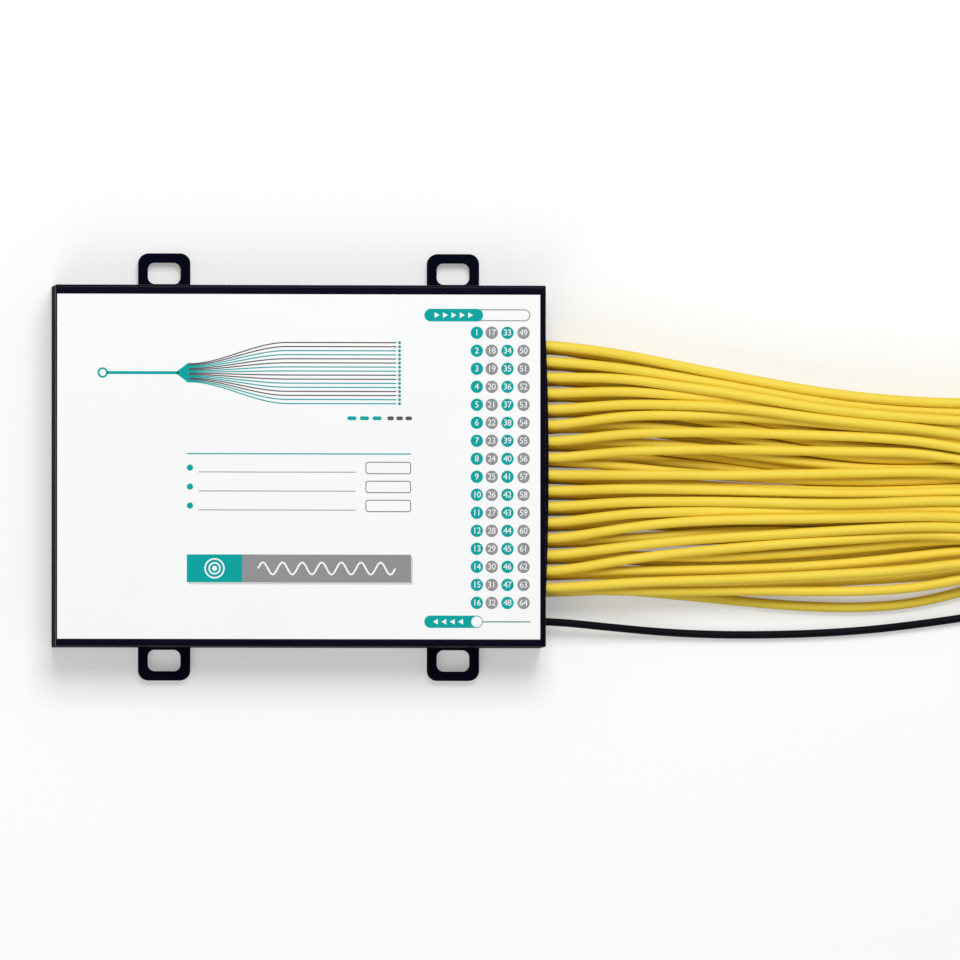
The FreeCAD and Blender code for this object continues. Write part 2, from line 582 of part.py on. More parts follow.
def fan_route(row, level):
    """One output cable from inside the exit plate to the gathered bundle."""
    y = worth(hole_y(row, level))
    z = worth(level_z(level))
    start = worth(f"{ANCHOR_START} + anchor_depth")
    points = [V(start, y, z), V(worth(EXIT_X), y, z)]
    lift = RIDING.get(row, [0.0] * 8) if level == 3 else [0.0] * 8
    for x, across, high, up in zip(FAN_X, fan_y(row, level), SETTLE[level], lift):
        points.append(V(x, across, high + up))
    side, count = half_rows(row)
    neat = BUNDLE_Y + side * (HALF_GAP + PITCH * count)
    points.append(V(GATHER_X[0], (points[-1].y + neat) / 2, 1.5 + BAND * level + lift[-1] * 0.7))
    points += [V(x, neat, 1.5 + BAND * level) for x in GATHER_X[1:]]
    return points


def tube(points, diameter):
    """A tube along straight runs and tangent arcs; returns the solid, its length and least radius."""
    runs = [b - a for a, b in zip(points, points[1:])]
    edges = []
    here = points[0]
    least = 1e9
    for k in range(1, len(points) - 1):
        before = V(runs[k - 1]).normalize()
        after = V(runs[k]).normalize()
        turn = before.getAngle(after)
        if turn < 1e-4:
            continue
        reach = 0.45 * min(runs[k - 1].Length, runs[k].Length)
        radius = reach / math.tan(turn / 2)
        least = min(least, radius)
        enter = points[k] - before * reach
        leave = points[k] + after * reach
        inward = (after - before).normalize()
        centre = points[k] + inward * (radius / math.cos(turn / 2))
        middle = centre - inward * radius
        edges.append(Part.LineSegment(here, enter).toShape())
        edges.append(Part.Arc(enter, middle, leave).toShape())
        here = leave
    edges.append(Part.LineSegment(here, points[-1]).toShape())
    wire = Part.Wire(edges)
    ring = Part.Wire(Part.Circle(points[0], runs[0], diameter / 2).toShape())
    made = wire.makePipe(Part.Face(ring))
    if made.ShapeType != "Solid":
        made = made.Solids[0]
    expected = math.pi * diameter * diameter / 4 * wire.Length
    if not made.isValid() or abs(made.Volume / expected - 1) > 0.01:
        raise RuntimeError(f"tube volume {made.Volume:.1f} against {expected:.1f}")
    return made, wire.Length, least


def tubes(name, routes, diameter):
    """One node of separate tubes; prints their lengths and the tightest radius."""
    made = [tube(route, diameter) for route in routes]
    lengths = [one[1] for one in made]
    least = min(one[2] for one in made)
    print(f"{name}: {len(made)} of {min(lengths):.0f} to {max(lengths):.0f} mm, least radius {least:.1f} mm")
    return solid(name, Part.makeCompound([one[0] for one in made]))


def fanout_tubes():
    """Sixty-four protected fibres from the blocks to the anchor block behind the exit plate."""
    start = worth(f"{BLOCK_START} + block_length")
    end = worth(ANCHOR_START)
    middle = worth("floor_thickness + block_pad_height + block_height / 2")
    routes = []
    for number in range(8):
        for half in range(2):
            y0 = block_y(number) + (0.5 - half) * 2 * SIZE["fanout_pitch"]
            for level in range(4):
                y1 = worth(hole_y(2 * number + half, level))
                z0 = middle + (level - 1.5) * SIZE["fanout_pitch"]
                z1 = worth(level_z(level))
                turns = [V(start + 2.5, y0, z0), V(end - 2.5, y1, z1)]
                routes.append([V(start, y0, z0), *turns, V(end, y1, z1)])
    return tubes("fanout_tubes", routes, SIZE["buffer_diameter"])


def input_buffer_tube():
    """Protected input fibre from its anchor round the case to the left end of the housing."""
    level = SIZE["input_level"]
    axis = worth(AXIS_Z)
    start = V(worth(ANCHOR_START), -SIZE["input_place"], level)
    along, across, room = worth(INNER_X), worth(INNER_Y), worth(TURN_ROOM)
    screw = V(*[worth(part) for part in screw_place(1, -1)], level)
    route = [
        start, start + V(-5.0, 0, 0), screw + V(2.0, 6.7, 0.2), V(along * 0.32, across * -0.763, 7.0),
        V(along * -0.12, across * -0.74, 8.0), V(along * -0.56, across * -0.76, 9.0),
        V(room * 0.61 - along, across * -0.677, 9.6), V(room * 0.194 - along, across * -0.424, 10.0),
        V(room * 0.333 - along, across * -0.141, 10.0), V(room * 0.694 - along, 0.0, axis),
        V(room - along, 0.0, axis),
    ]
    return tubes("input_buffer_tube", [route], SIZE["buffer_diameter"])


# ---------------------------------------------------------------- gathered bundle, folded hank and tails
# Frames along the middle of the bundle, each a place and the way it heads.
GATHER_PATH = [(231.0, -4.0), (246.0, -7.0), (260.5, -14.5), (274.0, -24.0), (288.5, -33.5),
               (304.5, -40.5), (321.5, -43.6), (338.0, -44.0)]
SPREAD_PATH = [(424.0, 44.0), (439.0, 43.9), (469.0, 40.5), (490.0, 32.0), (507.0, 21.5),
               (522.5, 11.5), (539.0, 5.0), (557.0, 2.0), (574.0, 2.0)]
SQUARE_Z = 12.2
RIGHT_FOLD = 452.0
LEFT_FOLD = 314.0
OVERLAP = 8.0
STRAP_X = (348.0, 380.0, 412.0)


def headings(path):
    """The heading at each place of a path, straight ahead at both ends."""
    turns = [0.0]
    for before, after in zip(path, path[2:]):
        turns.append(math.atan2(after[1] - before[1], after[0] - before[0]))
    return turns + [0.0]


def set_out(centre, heading, u, z):
    """A point u to the left of the bundle's middle."""
    return V(centre[0] - u * math.sin(heading), centre[1] + u * math.cos(heading), z)


def tail_route(row, level):
    """One output cable from the end of the hank to its connector."""
    side, count = half_rows(row)
    column = count if side > 0 else 7 - count
    rank = level + 4 if side > 0 else level
    square = (column - 3.5) * PITCH
    upper = 12.0 if side > 0 else 0.0
    bundled = SQUARE_Z + (rank - 3.5) * PITCH
    stacked = 1.5 + BAND * level + upper
    plug = worth(f"plug_level_pitch * {level} + plug_level_pitch / 2")
    apart = side * (1.9 + 3.4 * count)
    spread = [
        ((square + apart) / 2, stacked), (apart, stacked),
        (side * (2.3 + 4.6 * count), stacked + (plug - stacked) * 0.2),
        (side * (3.1 + 6.2 * count), stacked + (plug - stacked) * 0.55),
        (side * (3.6 + 7.2 * count), stacked + (plug - stacked) * 0.9),
        (side * SIZE["plug_pitch"] * (count + 0.5), plug), (side * SIZE["plug_pitch"] * (count + 0.5), plug),
    ]
    turns = headings(SPREAD_PATH)
    turns[-2] = 0.0
    first = spread_end()
    points = [set_out(first[0], first[1], square, bundled)]
    for centre, heading, (u, z) in zip(SPREAD_PATH[2:], turns[2:], spread):
        points.append(set_out(centre, heading, u, z))
    return points


def spread_end():
    """The place and heading at which the bundle opens into separate tails."""
    heading = headings(SPREAD_PATH)[1]
    x, y = SPREAD_PATH[1]
    return (x + OVERLAP * math.cos(heading), y + OVERLAP * math.sin(heading)), heading


def input_route():
    """The input cable from its anchor along the outside of the bundle to its connector."""
    y = -SIZE["input_place"]
    z = SIZE["input_level"]
    start = worth(f"{ANCHOR_START} + anchor_depth")
    points = [V(start, y, z), V(worth(EXIT_X), y, z)]
    points += [V(x, across, high) for x, across, high in zip(FAN_X, INPUT_Y, INPUT_Z)]
    points += [V(204.0, -40.4, 1.2), V(217.5, -38.6, 1.2)]
    outside = [-30.0, -27.5, -21.5, -15.5, -12.0, -11.0, -10.8]
    for centre, heading, u in zip(GATHER_PATH[1:], headings(GATHER_PATH)[1:], outside):
        points.append(set_out(centre, heading, u, 1.2))
    fold = SIZE["fold_radius"]
    edge = 10.8
    for x in (376.0, 414.0):
        points.append(V(x, -2 * fold - edge - 0.3, 1.2))
    points += turn_round(RIGHT_FOLD, -fold, fold + edge, -90, 1, 2.6)
    points += [V(x, edge + 0.3, 2.6) for x in (425.0, 392.0, 359.0, 331.0)]
    points += turn_round(LEFT_FOLD, fold, fold - edge, -90, -1, 2.6)
    points += [V(x, 2 * fold - edge - 0.3, 2.6) for x in (333.0, 361.0, 389.0)]
    tail = [(-10.8, 2.4), (-13.6, 1.3), (-21.0, 1.3), (-29.3, 1.3), (-39.0, 1.6), (-51.0, 2.8), (-60.5, 4.2)]
    column = SIZE["plug_pitch"] * 8.5
    level = SIZE["plug_level_pitch"] / 2
    tail += [(-column, level), (-column, level)]
    turns = headings(SPREAD_PATH)
    turns[-2] = 0.0
    for centre, heading, (u, high) in zip(SPREAD_PATH, turns, tail):
        points.append(set_out(centre, heading, u, high))
    return points


def turn_round(x, y, radius, first, way, z):
    """Control points of a half turn, outside the arc so that the tube's arcs lie on it."""
    reach = radius / math.cos(math.radians(22.5))
    points = []
    for step in range(4):
        angle = math.radians(first + way * (22.5 + 45 * step))
        points.append(V(x + reach * math.cos(angle), y + reach * math.sin(angle), z))
    return points


def slice_at(centre, heading, corners):
    """A closed outline across the bundle."""
    points = [set_out(centre, heading, u, z) for u, z in corners]
    return Part.makePolygon(points + points[:1])


def octagon():
    """The round bundle's outline, eight-sided where the bundle changes form."""
    radius = SIZE["bundle_radius"]
    high = SIZE["bundle_height"]
    return [
        (radius * math.cos(math.radians(a)), high + radius * math.sin(math.radians(a)))
        for a in (-157.5, -112.5, -67.5, -22.5, 22.5, 67.5, 112.5, 157.5)
    ]


SQUARE_OUTLINE = [(-12.2, 2.6), (-9.7, 0.1), (9.7, 0.1), (12.2, 2.6),
                  (12.2, 21.8), (9.7, 24.3), (-9.7, 24.3), (-12.2, 21.8)]


def cable_gather():
    """Outer form of the cables where the two halves of the flat bundle slide over each other."""
    flat = [(-24.4, 0.1), (-8, 0.1), (8, 0.1), (24.4, 0.1), (24.4, 12), (8, 12), (-8, 12), (-24.4, 12)]
    rising = [(-24.4, 0.1), (-8, 0.1), (0, 0.1), (24.4, 5.8), (24.4, 18), (8, 18), (0, 18), (-24.4, 12)]
    over = [(-24.4, 0.1), (-8, 0.1), (0, 0.1), (24.4, 12), (24.4, 24), (8, 24), (0, 24), (-24.4, 12)]
    closing = [(-18.3, 0.1), (-6, 0.1), (6, 0.1), (18.3, 11), (18.3, 24), (6, 24), (-6, 24), (-18.3, 13)]
    outlines = [flat, rising, over, closing, SQUARE_OUTLINE, octagon(), octagon(), octagon()]
    turns = headings(GATHER_PATH)
    wires = [slice_at(*frame) for frame in zip(GATHER_PATH, turns, outlines)]
    return solid("cable_gather", Part.makeLoft(wires, True, True))


def cable_hank():
    """Outer form of the bundle folded into three runs."""
    fold = SIZE["fold_radius"]
    z = SIZE["bundle_height"]
    y0, y1, y2 = -2 * fold, 0.0, 2 * fold
    start, end = GATHER_PATH[-1][0], SPREAD_PATH[0][0]
    edges = [
        Part.LineSegment(V(start, y0, z), V(RIGHT_FOLD, y0, z)).toShape(),
        Part.Arc(V(RIGHT_FOLD, y0, z), V(RIGHT_FOLD + fold, y0 + fold, z), V(RIGHT_FOLD, y1, z)).toShape(),
        Part.LineSegment(V(RIGHT_FOLD, y1, z), V(LEFT_FOLD, y1, z)).toShape(),
        Part.Arc(V(LEFT_FOLD, y1, z), V(LEFT_FOLD - fold, y1 + fold, z), V(LEFT_FOLD, y2, z)).toShape(),
        Part.LineSegment(V(LEFT_FOLD, y2, z), V(end, y2, z)).toShape(),
    ]
    ring = Part.Wire(Part.Circle(V(start, y0, z), V(1, 0, 0), SIZE["bundle_radius"]).toShape())
    return solid("cable_hank", Part.Wire(edges).makePipe(Part.Face(ring)))


def cable_spread():
    """Outer form of the bundle where it turns from round to square before the tails part."""
    first = headings(SPREAD_PATH)
    end, heading = spread_end()
    wires = [
        slice_at(SPREAD_PATH[0], first[0], octagon()),
        slice_at(SPREAD_PATH[1], first[1], SQUARE_OUTLINE),
        slice_at(end, heading, SQUARE_OUTLINE),
    ]
    return solid("cable_spread", Part.makeLoft(wires, True, True))


def hank_ties():
    """Three hook-and-loop straps round the folded bundle."""
    fold = SIZE["fold_radius"]
    z = SIZE["bundle_height"]
    inner = SIZE["bundle_radius"] + SIZE["strap_clearance"]
    outer = inner + SIZE["strap_thickness"]
    straps = []
    for x in STRAP_X:
        faces = []
        for radius in (inner, outer):
            left, right = -2 * fold, 2 * fold
            edges = [
                Part.LineSegment(V(x, left, z - radius), V(x, right, z - radius)).toShape(),
                Part.Arc(V(x, right, z - radius), V(x, right + radius, z), V(x, right, z + radius)).toShape(),
                Part.LineSegment(V(x, right, z + radius), V(x, left, z + radius)).toShape(),
                Part.Arc(V(x, left, z + radius), V(x, left - radius, z), V(x, left, z - radius)).toShape(),
            ]
            faces.append(Part.Face(Part.Wire(edges)))
        band = faces[1].cut(faces[0]).Faces[0]
        strap = band.extrude(V(SIZE["strap_width"], 0, 0))
        straps.append(strap.translated(V(-SIZE["strap_width"] / 2, 0, 0)))
    return solid("hank_ties", Part.makeCompound(straps))


# ---------------------------------------------------------------- connectors
PLUG_END = SPREAD_PATH[-1][0]
PLUG_Y = SPREAD_PATH[-1][1]


def plug_places(level):
    """The axes of one layer of output connectors."""
    z = worth(f"plug_level_pitch * {level} + plug_level_pitch / 2")
    return [V(PLUG_END, PLUG_Y + (7.5 - column) * SIZE["plug_pitch"], z) for column in range(16)]


def input_plug_place():
    """The axis of the input connector, beside the lowest layer."""
    z = SIZE["plug_level_pitch"] / 2
    return [V(PLUG_END, PLUG_Y - 8.5 * SIZE["plug_pitch"], z)]


def boot_form():
    """Strain-relief boot, thin at the cable and thick at the housing, with three grooves."""
    length = SIZE["plug_boot_length"]
    thin = SIZE["boot_start_diameter"] / 2
    thick = SIZE["boot_end_diameter"] / 2
    outline = [V(0, 0, 0), V(0, thin, 0), V(length * 0.72, thick * 0.8, 0), V(length * 0.72, thick, 0),
               V(length, thick, 0), V(length, 0, 0)]
    face = Part.Face(Part.makePolygon(outline + outline[:1]))
    made = face.revolve(V(0, 0, 0), V(1, 0, 0), 360)
    for step in range(3):
        corner = V(length * (0.18 + 0.17 * step), -thick - 0.5, thin * 0.62)
        groove = Part.makeBox(1.6, thick * 2 + 1, 1.3, corner)
        mirror = groove.mirror(V(0, 0, 0), V(0, 0, 1))
        made = made.cut(groove).cut(mirror)
    return made


def housing_form():
    """Bevelled connector housing with its nose bore and finger recesses."""
    length = SIZE["plug_length"]
    wide = SIZE["plug_width"]
    high = SIZE["plug_height"]
    start = SIZE["plug_boot_length"]
    made = Part.makeBox(length, wide, high, V(start, -wide / 2, -high / 2))
    bevel = SIZE["plug_bevel"]
    long_edges = [e for e in made.Edges if e.BoundBox.XLength > length / 2]
    made = made.makeChamfer(bevel, long_edges)
    bore = Part.makeCylinder(SIZE["nose_bore"] / 2, SIZE["nose_depth"],
                             V(start + length - SIZE["nose_depth"], 0, 0), V(1, 0, 0))
    seat = Part.makeCylinder(SIZE["ferrule_diameter"] / 2, SIZE["ferrule_length"],
                             V(start + length - SIZE["ferrule_length"], 0, 0), V(1, 0, 0))
    made = made.cut(bore).cut(seat)
    for side in (-1, 1):
        recess = Part.makeBox(9.0, wide - 3.0, 0.5, V(start + 4.0, -wide / 2 + 1.5, -0.25))
        made = made.cut(recess.translated(V(0, 0, side * high / 2)))
    return made


def cap_form():
    """Dust cap, a soft cup over the ferrule."""
    front = SIZE["plug_boot_length"] + SIZE["plug_length"]
    inside = SIZE["nose_depth"] - 1.0
    outer = Part.makeCylinder(SIZE["cap_diameter"] / 2, SIZE["cap_length"],
                              V(front - inside, 0, 0), V(1, 0, 0))
    hollow = Part.makeCylinder(SIZE["ferrule_diameter"] / 2 + SIZE["cap_gap"], inside + 0.2,
                               V(front - inside, 0, 0), V(1, 0, 0))
    return outer.cut(hollow)


def ferrule_form():
    """Ceramic ferrule, flush with the front of the housing."""
    front = SIZE["plug_boot_length"] + SIZE["plug_length"]
    return Part.makeCylinder(SIZE["ferrule_diameter"] / 2, SIZE["ferrule_length"],
                             V(front - SIZE["ferrule_length"], 0, 0), V(1, 0, 0))


def repeated(name, form, places):
    """Separate like solids at a list of places."""
    return solid(name, Part.makeCompound([form.translated(spot) for spot in places]))


# ---------------------------------------------------------------- build
def build_all():
    """Every sub-part of the splitter, in the order of assembly."""
    made = [base_shell(), case_screws()]
    made.append(block("lower_foam_pad", "housing_length", "pad_width", "pad_height",
                      f"{HOUSING_START} + housing_length / 2", "0", "floor_thickness"))
    made.append(block("fanout_pad", "block_length", "14 * row_pitch + block_width + 2", "block_pad_height",
                      f"{BLOCK_START} + block_length / 2", "0", "floor_thickness"))
    made += [splitter_housing(), housing_boots()]
    made.append(block("chip_carrier", "carrier_length", "carrier_width", "carrier_thickness",
                      f"{HOUSING_START} + housing_length / 2", "0", CORE_FLOOR))
    core = f"{CORE_FLOOR} + carrier_thickness"
    made.append(block("plc_chip", "chip_length", "chip_width", "chip_height",
                      f"{CHIP_START} + chip_length / 2", "0", core))
    made.append(block("input_fibre_array", "input_array_length", "chip_width", "chip_height",
                      f"{ARRAY_START} + input_array_length / 2", "0", core))
    made.append(block("output_fibre_array", "output_array_length", "output_array_width", "chip_height",
                      f"{OUTPUT_START} + output_array_length / 2", "0", core))
    fibre = peg("input_fibre", "bare_fibre", f"{ARRAY_START} - {HOUSING_START} + boot_length", "0", "0", "0")
    fibre.Placement = FreeCAD.Placement(V(0, 0, 0), FreeCAD.Rotation(V(0, 1, 0), 90))
    made.append(place(fibre, f"{HOUSING_START} - boot_length", "0", AXIS_Z))
    made += [fibre_ribbons(), fanout_blocks(), fanout_tubes()]
    made.append(block("upper_foam_pad", "housing_length", "pad_width",
                      f"{SEAM} - floor_thickness - pad_height - housing_height",
                      f"{HOUSING_START} + housing_length / 2", "0",
                      "floor_thickness + pad_height + housing_height"))
    made.append(block("anchor_block", "anchor_depth", "anchor_width", f"{SEAM} - floor_thickness",
                      f"{ANCHOR_START} + anchor_depth / 2", "0", "floor_thickness"))
    made.append(block("input_anchor", "anchor_depth", "input_anchor_width", "input_anchor_height",
                      f"{ANCHOR_START} + anchor_depth / 2", "-input_place", "floor_thickness"))
    made += [input_buffer_tube(), input_bush(), exit_plate(), lid(), face_label()]
    for level in range(4):
        routes = [fan_route(row, level) for row in range(16)]
        made.append(tubes(f"output_cables_layer_{level + 1}", routes, SIZE["cable_diameter"]))
    made.append(tubes("input_cable", [input_route()], SIZE["input_diameter"]))
    made += [cable_gather(), cable_hank(), cable_spread(), hank_ties()]
    for level in range(4):
        routes = [tail_route(row, level) for row in range(16)]
        made.append(tubes(f"output_tails_layer_{level + 1}", routes, SIZE["cable_diameter"]))
    boot, housing, cap, ferrule = boot_form(), housing_form(), cap_form(), ferrule_form()
    for level in range(4):
        places = plug_places(level)
        made.append(repeated(f"sc_boots_layer_{level + 1}", boot, places))
        made.append(repeated(f"sc_housings_layer_{level + 1}", housing, places))
        made.append(repeated(f"sc_caps_layer_{level + 1}", cap, places))
    every_place = [spot for level in range(4) for spot in plug_places(level)]
    made.append(repeated("sc_ferrules", ferrule, every_place))
    spot = input_plug_place()
    made.append(repeated("input_plug_boot", boot, spot))
    made.append(repeated("input_plug_housing", housing, spot))
    made.append(repeated("input_plug_ferrule", ferrule, spot))
    made.append(repeated("input_plug_cap", cap, spot))
    return made


SUBPARTS = build_all()
doc.recompute()
for item in doc.Objects:
    bad = {"Invalid", "Error"} & set(item.State)
    if bad:
        raise RuntimeError(f"{item.Name}: {item.State}")
os.makedirs("parts", exist_ok=True)
for item in SUBPARTS:
    name = item.Label
    shape = item.Shape
    if shape.isNull() or not shape.isValid():
        raise RuntimeError(f"{name}: its shape is not sound")
    box = shape.BoundBox
    print(f"{name}: {len(shape.Solids)} solids, {shape.Volume / 1000:.2f} cm3, "
          f"x {box.XMin:.1f} {box.XMax:.1f} y {box.YMin:.1f} {box.YMax:.1f} z {box.ZMin:.2f} {box.ZMax:.2f}")
    shape.exportStep(f"parts/{name}.step")
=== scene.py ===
# %% [markdown]
# # Fibre splitter, dressed round its CAD frame
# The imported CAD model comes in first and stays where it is. Everything below is made in the same frame,
# in metres: +X runs along the case to the cables, +Z comes out of the label.

# %% Load the frame
import bpy
import bmesh
import json
import math
from mathutils import Matrix, Vector


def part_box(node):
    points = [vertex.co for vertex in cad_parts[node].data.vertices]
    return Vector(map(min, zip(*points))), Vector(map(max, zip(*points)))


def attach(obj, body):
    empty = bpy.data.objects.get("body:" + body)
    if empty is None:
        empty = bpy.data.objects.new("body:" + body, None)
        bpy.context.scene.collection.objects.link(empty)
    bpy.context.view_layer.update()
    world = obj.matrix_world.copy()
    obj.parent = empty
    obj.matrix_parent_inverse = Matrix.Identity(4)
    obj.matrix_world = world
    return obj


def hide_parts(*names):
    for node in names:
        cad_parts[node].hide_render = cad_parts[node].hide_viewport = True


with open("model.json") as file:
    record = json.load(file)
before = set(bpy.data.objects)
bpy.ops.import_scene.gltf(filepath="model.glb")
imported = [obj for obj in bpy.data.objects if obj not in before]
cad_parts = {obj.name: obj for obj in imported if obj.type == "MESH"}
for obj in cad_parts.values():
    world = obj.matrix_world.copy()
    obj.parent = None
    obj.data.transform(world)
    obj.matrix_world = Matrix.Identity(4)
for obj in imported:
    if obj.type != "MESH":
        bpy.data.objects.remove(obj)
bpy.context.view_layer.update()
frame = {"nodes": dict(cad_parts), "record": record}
NODES = frame["nodes"]
MM = 0.001

# %% [markdown]
# In Blender the data of a thing, such as a mesh, a curve or a lamp, is one block, and the object that puts
# it into the scene is another. Every piece made below needs both, so that step is written once, and once
# more for a mesh that was built by hand and has one finish.

# %% Objects for new data
def placed(name, data):
    """An object of the data, in the scene."""
    made = bpy.data.objects.new(name, data)
    bpy.context.scene.collection.objects.link(made)
    return made


def built(name, mesh, finish):
    """An object of a hand-built mesh with one finish; the mesh is used up."""
    data = bpy.data.meshes.new(name)
    mesh.to_mesh(data)
    mesh.free()
    data.materials.append(finish)
    return placed(name, data)


print(len(NODES), "nodes in the frame")

# %% [markdown]
# ## Camera
# The case is seen from above. A short lens would make its far sides lean together, and a shifted lens
# would stay shifted in every other view, so a very long lens stands far back instead and keeps the sides
# parallel. The camera leans a little to the left and to the front, which shows a sliver of those walls.

# %% Camera
LID_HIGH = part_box("lid")[1]
VIEW_WIDTH = 273.4 * MM
VIEW_CENTRE = Vector((LID_HIGH.x - 18.9 * MM, -3.96 * MM, LID_HIGH.z))
VIEW_DISTANCE = 8.0
LEAN_X, LEAN_Y = 0.082, 0.026


def make_camera():
    """A long lens above the case, with +Y up in the picture."""
    data = bpy.data.cameras.new("camera")
    data.sensor_width = 36.0
    data.lens = data.sensor_width * VIEW_DISTANCE / VIEW_WIDTH
    data.clip_start = 0.1
    data.clip_end = 30.0
    camera = placed("camera", data)
    back = Vector((-LEAN_X, -LEAN_Y, 1.0)).normalized()
    right = Vector((0, 1, 0)).cross(back).normalized()
    up = back.cross(right)
    turn = Matrix((right, up, back)).transposed().to_4x4()
    camera.matrix_world = Matrix.Translation(VIEW_CENTRE + back * VIEW_DISTANCE) @ turn
    bpy.context.scene.camera = camera


make_camera()
print("lens in mm:", round(bpy.context.scene.camera.data.lens, 1))

# %% [markdown]
# ## Materials
# Every finish is built from nodes, because a picture of a surface would blur close up and show where it
# repeats. A colour is chosen as it looks on a screen, but the shader works in linear light, so it is
# converted first. The textures read object coordinates, which are metres on the part itself.

# %% A colour and a shader
def srgb(red, green, blue):
    """A colour given as it looks on a screen, from 0 to 255, turned into linear light."""
    def linear(value):
        value /= 255
        return value / 12.92 if value <= 0.04045 else ((value + 0.055) / 1.055) ** 2.4
    return (linear(red), linear(green), linear(blue), 1.0)


def start_material(name, colour, roughness, **sockets):
    """A principled material with object coordinates ready for its textures."""
    material = bpy.data.materials.new(name)
    material.use_nodes = True
    tree = material.node_tree
    shader = tree.nodes["Principled BSDF"]
    shader.inputs["Base Color"].default_value = colour
    shader.inputs["Roughness"].default_value = roughness
    for socket, value in sockets.items():
        shader.inputs[socket.replace("_", " ")].default_value = value
    place = tree.nodes.new("ShaderNodeTexCoord")
    return material, tree, shader, place.outputs["Object"]


print("a middle grey is", round(srgb(128, 128, 128)[0], 3), "in linear light")

# %% [markdown]
# No moulded surface has one flat tone and one gloss. Noise is the simplest way to vary both, and to raise
# a grain that is too fine to model. Its values crowd round the middle, so they are spread out before use.

# %% Noise
def noise(tree, coordinates, scale, detail=3.0, roughness=0.5):
    """A noise texture of so many features a metre."""
    node = tree.nodes.new("ShaderNodeTexNoise")
    node.inputs["Scale"].default_value = scale
    node.inputs["Detail"].default_value = detail
    node.inputs["Roughness"].default_value = roughness
    tree.links.new(coordinates, node.inputs["Vector"])
    return node.outputs["Fac"]


def spread(tree, value, low, high):
    """Maps a texture's middle range onto low to high."""
    node = tree.nodes.new("ShaderNodeMapRange")
    node.inputs["From Min"].default_value = 0.3
    node.inputs["From Max"].default_value = 0.7
    node.inputs["To Min"].default_value = low
    node.inputs["To Max"].default_value = high
    tree.links.new(value, node.inputs["Value"])
    return node.outputs["Result"]


print(len(bpy.data.materials), "materials before the first finish")

# %% [markdown]
# A texture serves a finish in two ways: it mixes two tones, and it raises the surface. A bump only bends
# the light, which is enough for a grain of some hundredths of a millimetre and needs no geometry.

# %% Tones and bump
def blend_colours(tree, value, first, second):
    """Two tones mixed by a texture."""
    node = tree.nodes.new("ShaderNodeMix")
    node.data_type = "RGBA"
    node.inputs["A"].default_value = first
    node.inputs["B"].default_value = second
    tree.links.new(value, node.inputs["Factor"])
    return node.outputs["Result"]


def bump(tree, shader, height, distance, strength=1.0):
    """Raises the surface by a texture, over a distance in metres."""
    node = tree.nodes.new("ShaderNodeBump")
    node.inputs["Strength"].default_value = strength
    node.inputs["Distance"].default_value = distance
    tree.links.new(height, node.inputs["Height"])
    tree.links.new(node.outputs["Normal"], shader.inputs["Normal"])


print("a finish can mix two tones and raise a grain")

# %% [markdown]
# Most finishes differ only in their colours, gloss and grain. One recipe makes them all: two close tones
# that drift into each other, a gloss that drifts on a smaller scale, and the grain as a bump.

# %% The recipe of a grained finish
def grained(name, first, second, roughness, grain_scale, grain_depth, tone_scale, **sockets):
    """A moulded or cast surface: two close tones, uneven gloss and a fine grain."""
    material, tree, shader, place = start_material(name, first, sum(roughness) / 2, **sockets)
    tone = noise(tree, place, tone_scale)
    tree.links.new(blend_colours(tree, spread(tree, tone, 0, 1), first, second), shader.inputs["Base Color"])
    gloss = noise(tree, place, tone_scale * 3.1)
    tree.links.new(spread(tree, gloss, *roughness), shader.inputs["Roughness"])
    bump(tree, shader, noise(tree, place, grain_scale, 2.0), grain_depth)
    return material


FINISHES = {}


def keep_finish(name, first, second, roughness, grain, tone, **sockets):
    """Keeps a grained finish by its slot's name; the grain is its features a metre and its depth."""
    FINISHES[name] = grained(name, srgb(*first), srgb(*second), roughness, *grain, tone, **sockets)


print("finishes are kept by the name of their slot")

# %% [markdown]
# The case is moulded in a nearly black plastic with a cold tint and a fine spark-eroded grain. An image of
# the grain would repeat, so noise raises it. The cover comes from a smoother mould, so the round of its
# edge catches a thin line of light. The label is a white film, a little glossier than paper.

# %% Case, plate and label
CASE_GRAIN, LABEL_GRAIN = (5200, 0.00003), (3000, 0.000004)
keep_finish("case_plastic", (5, 6, 24), (8, 9, 30), (0.8, 0.9), CASE_GRAIN, 60, Specular_IOR_Level=0.05)
keep_finish("lid_plastic", (4, 5, 22), (6, 7, 27), (0.26, 0.34), (5200, 0.00001), 60, Specular_IOR_Level=0.06)
keep_finish("plate_plastic", (5, 5, 12), (8, 8, 16), (0.6, 0.7), CASE_GRAIN, 80, Specular_IOR_Level=0.05)
keep_finish("label_plastic", (249, 250, 250), (252, 252, 252), (0.38, 0.46), LABEL_GRAIN, 25,
            Specular_IOR_Level=0.3)
print(", ".join(FINISHES))

# %% [markdown]
# The cables have a satin jacket, a little uneven in tone as an extruded jacket is. Connectors with an
# angled ferrule are green by custom: a glossy housing, a duller soft boot and a clear dust cap over a
# white ceramic ferrule.

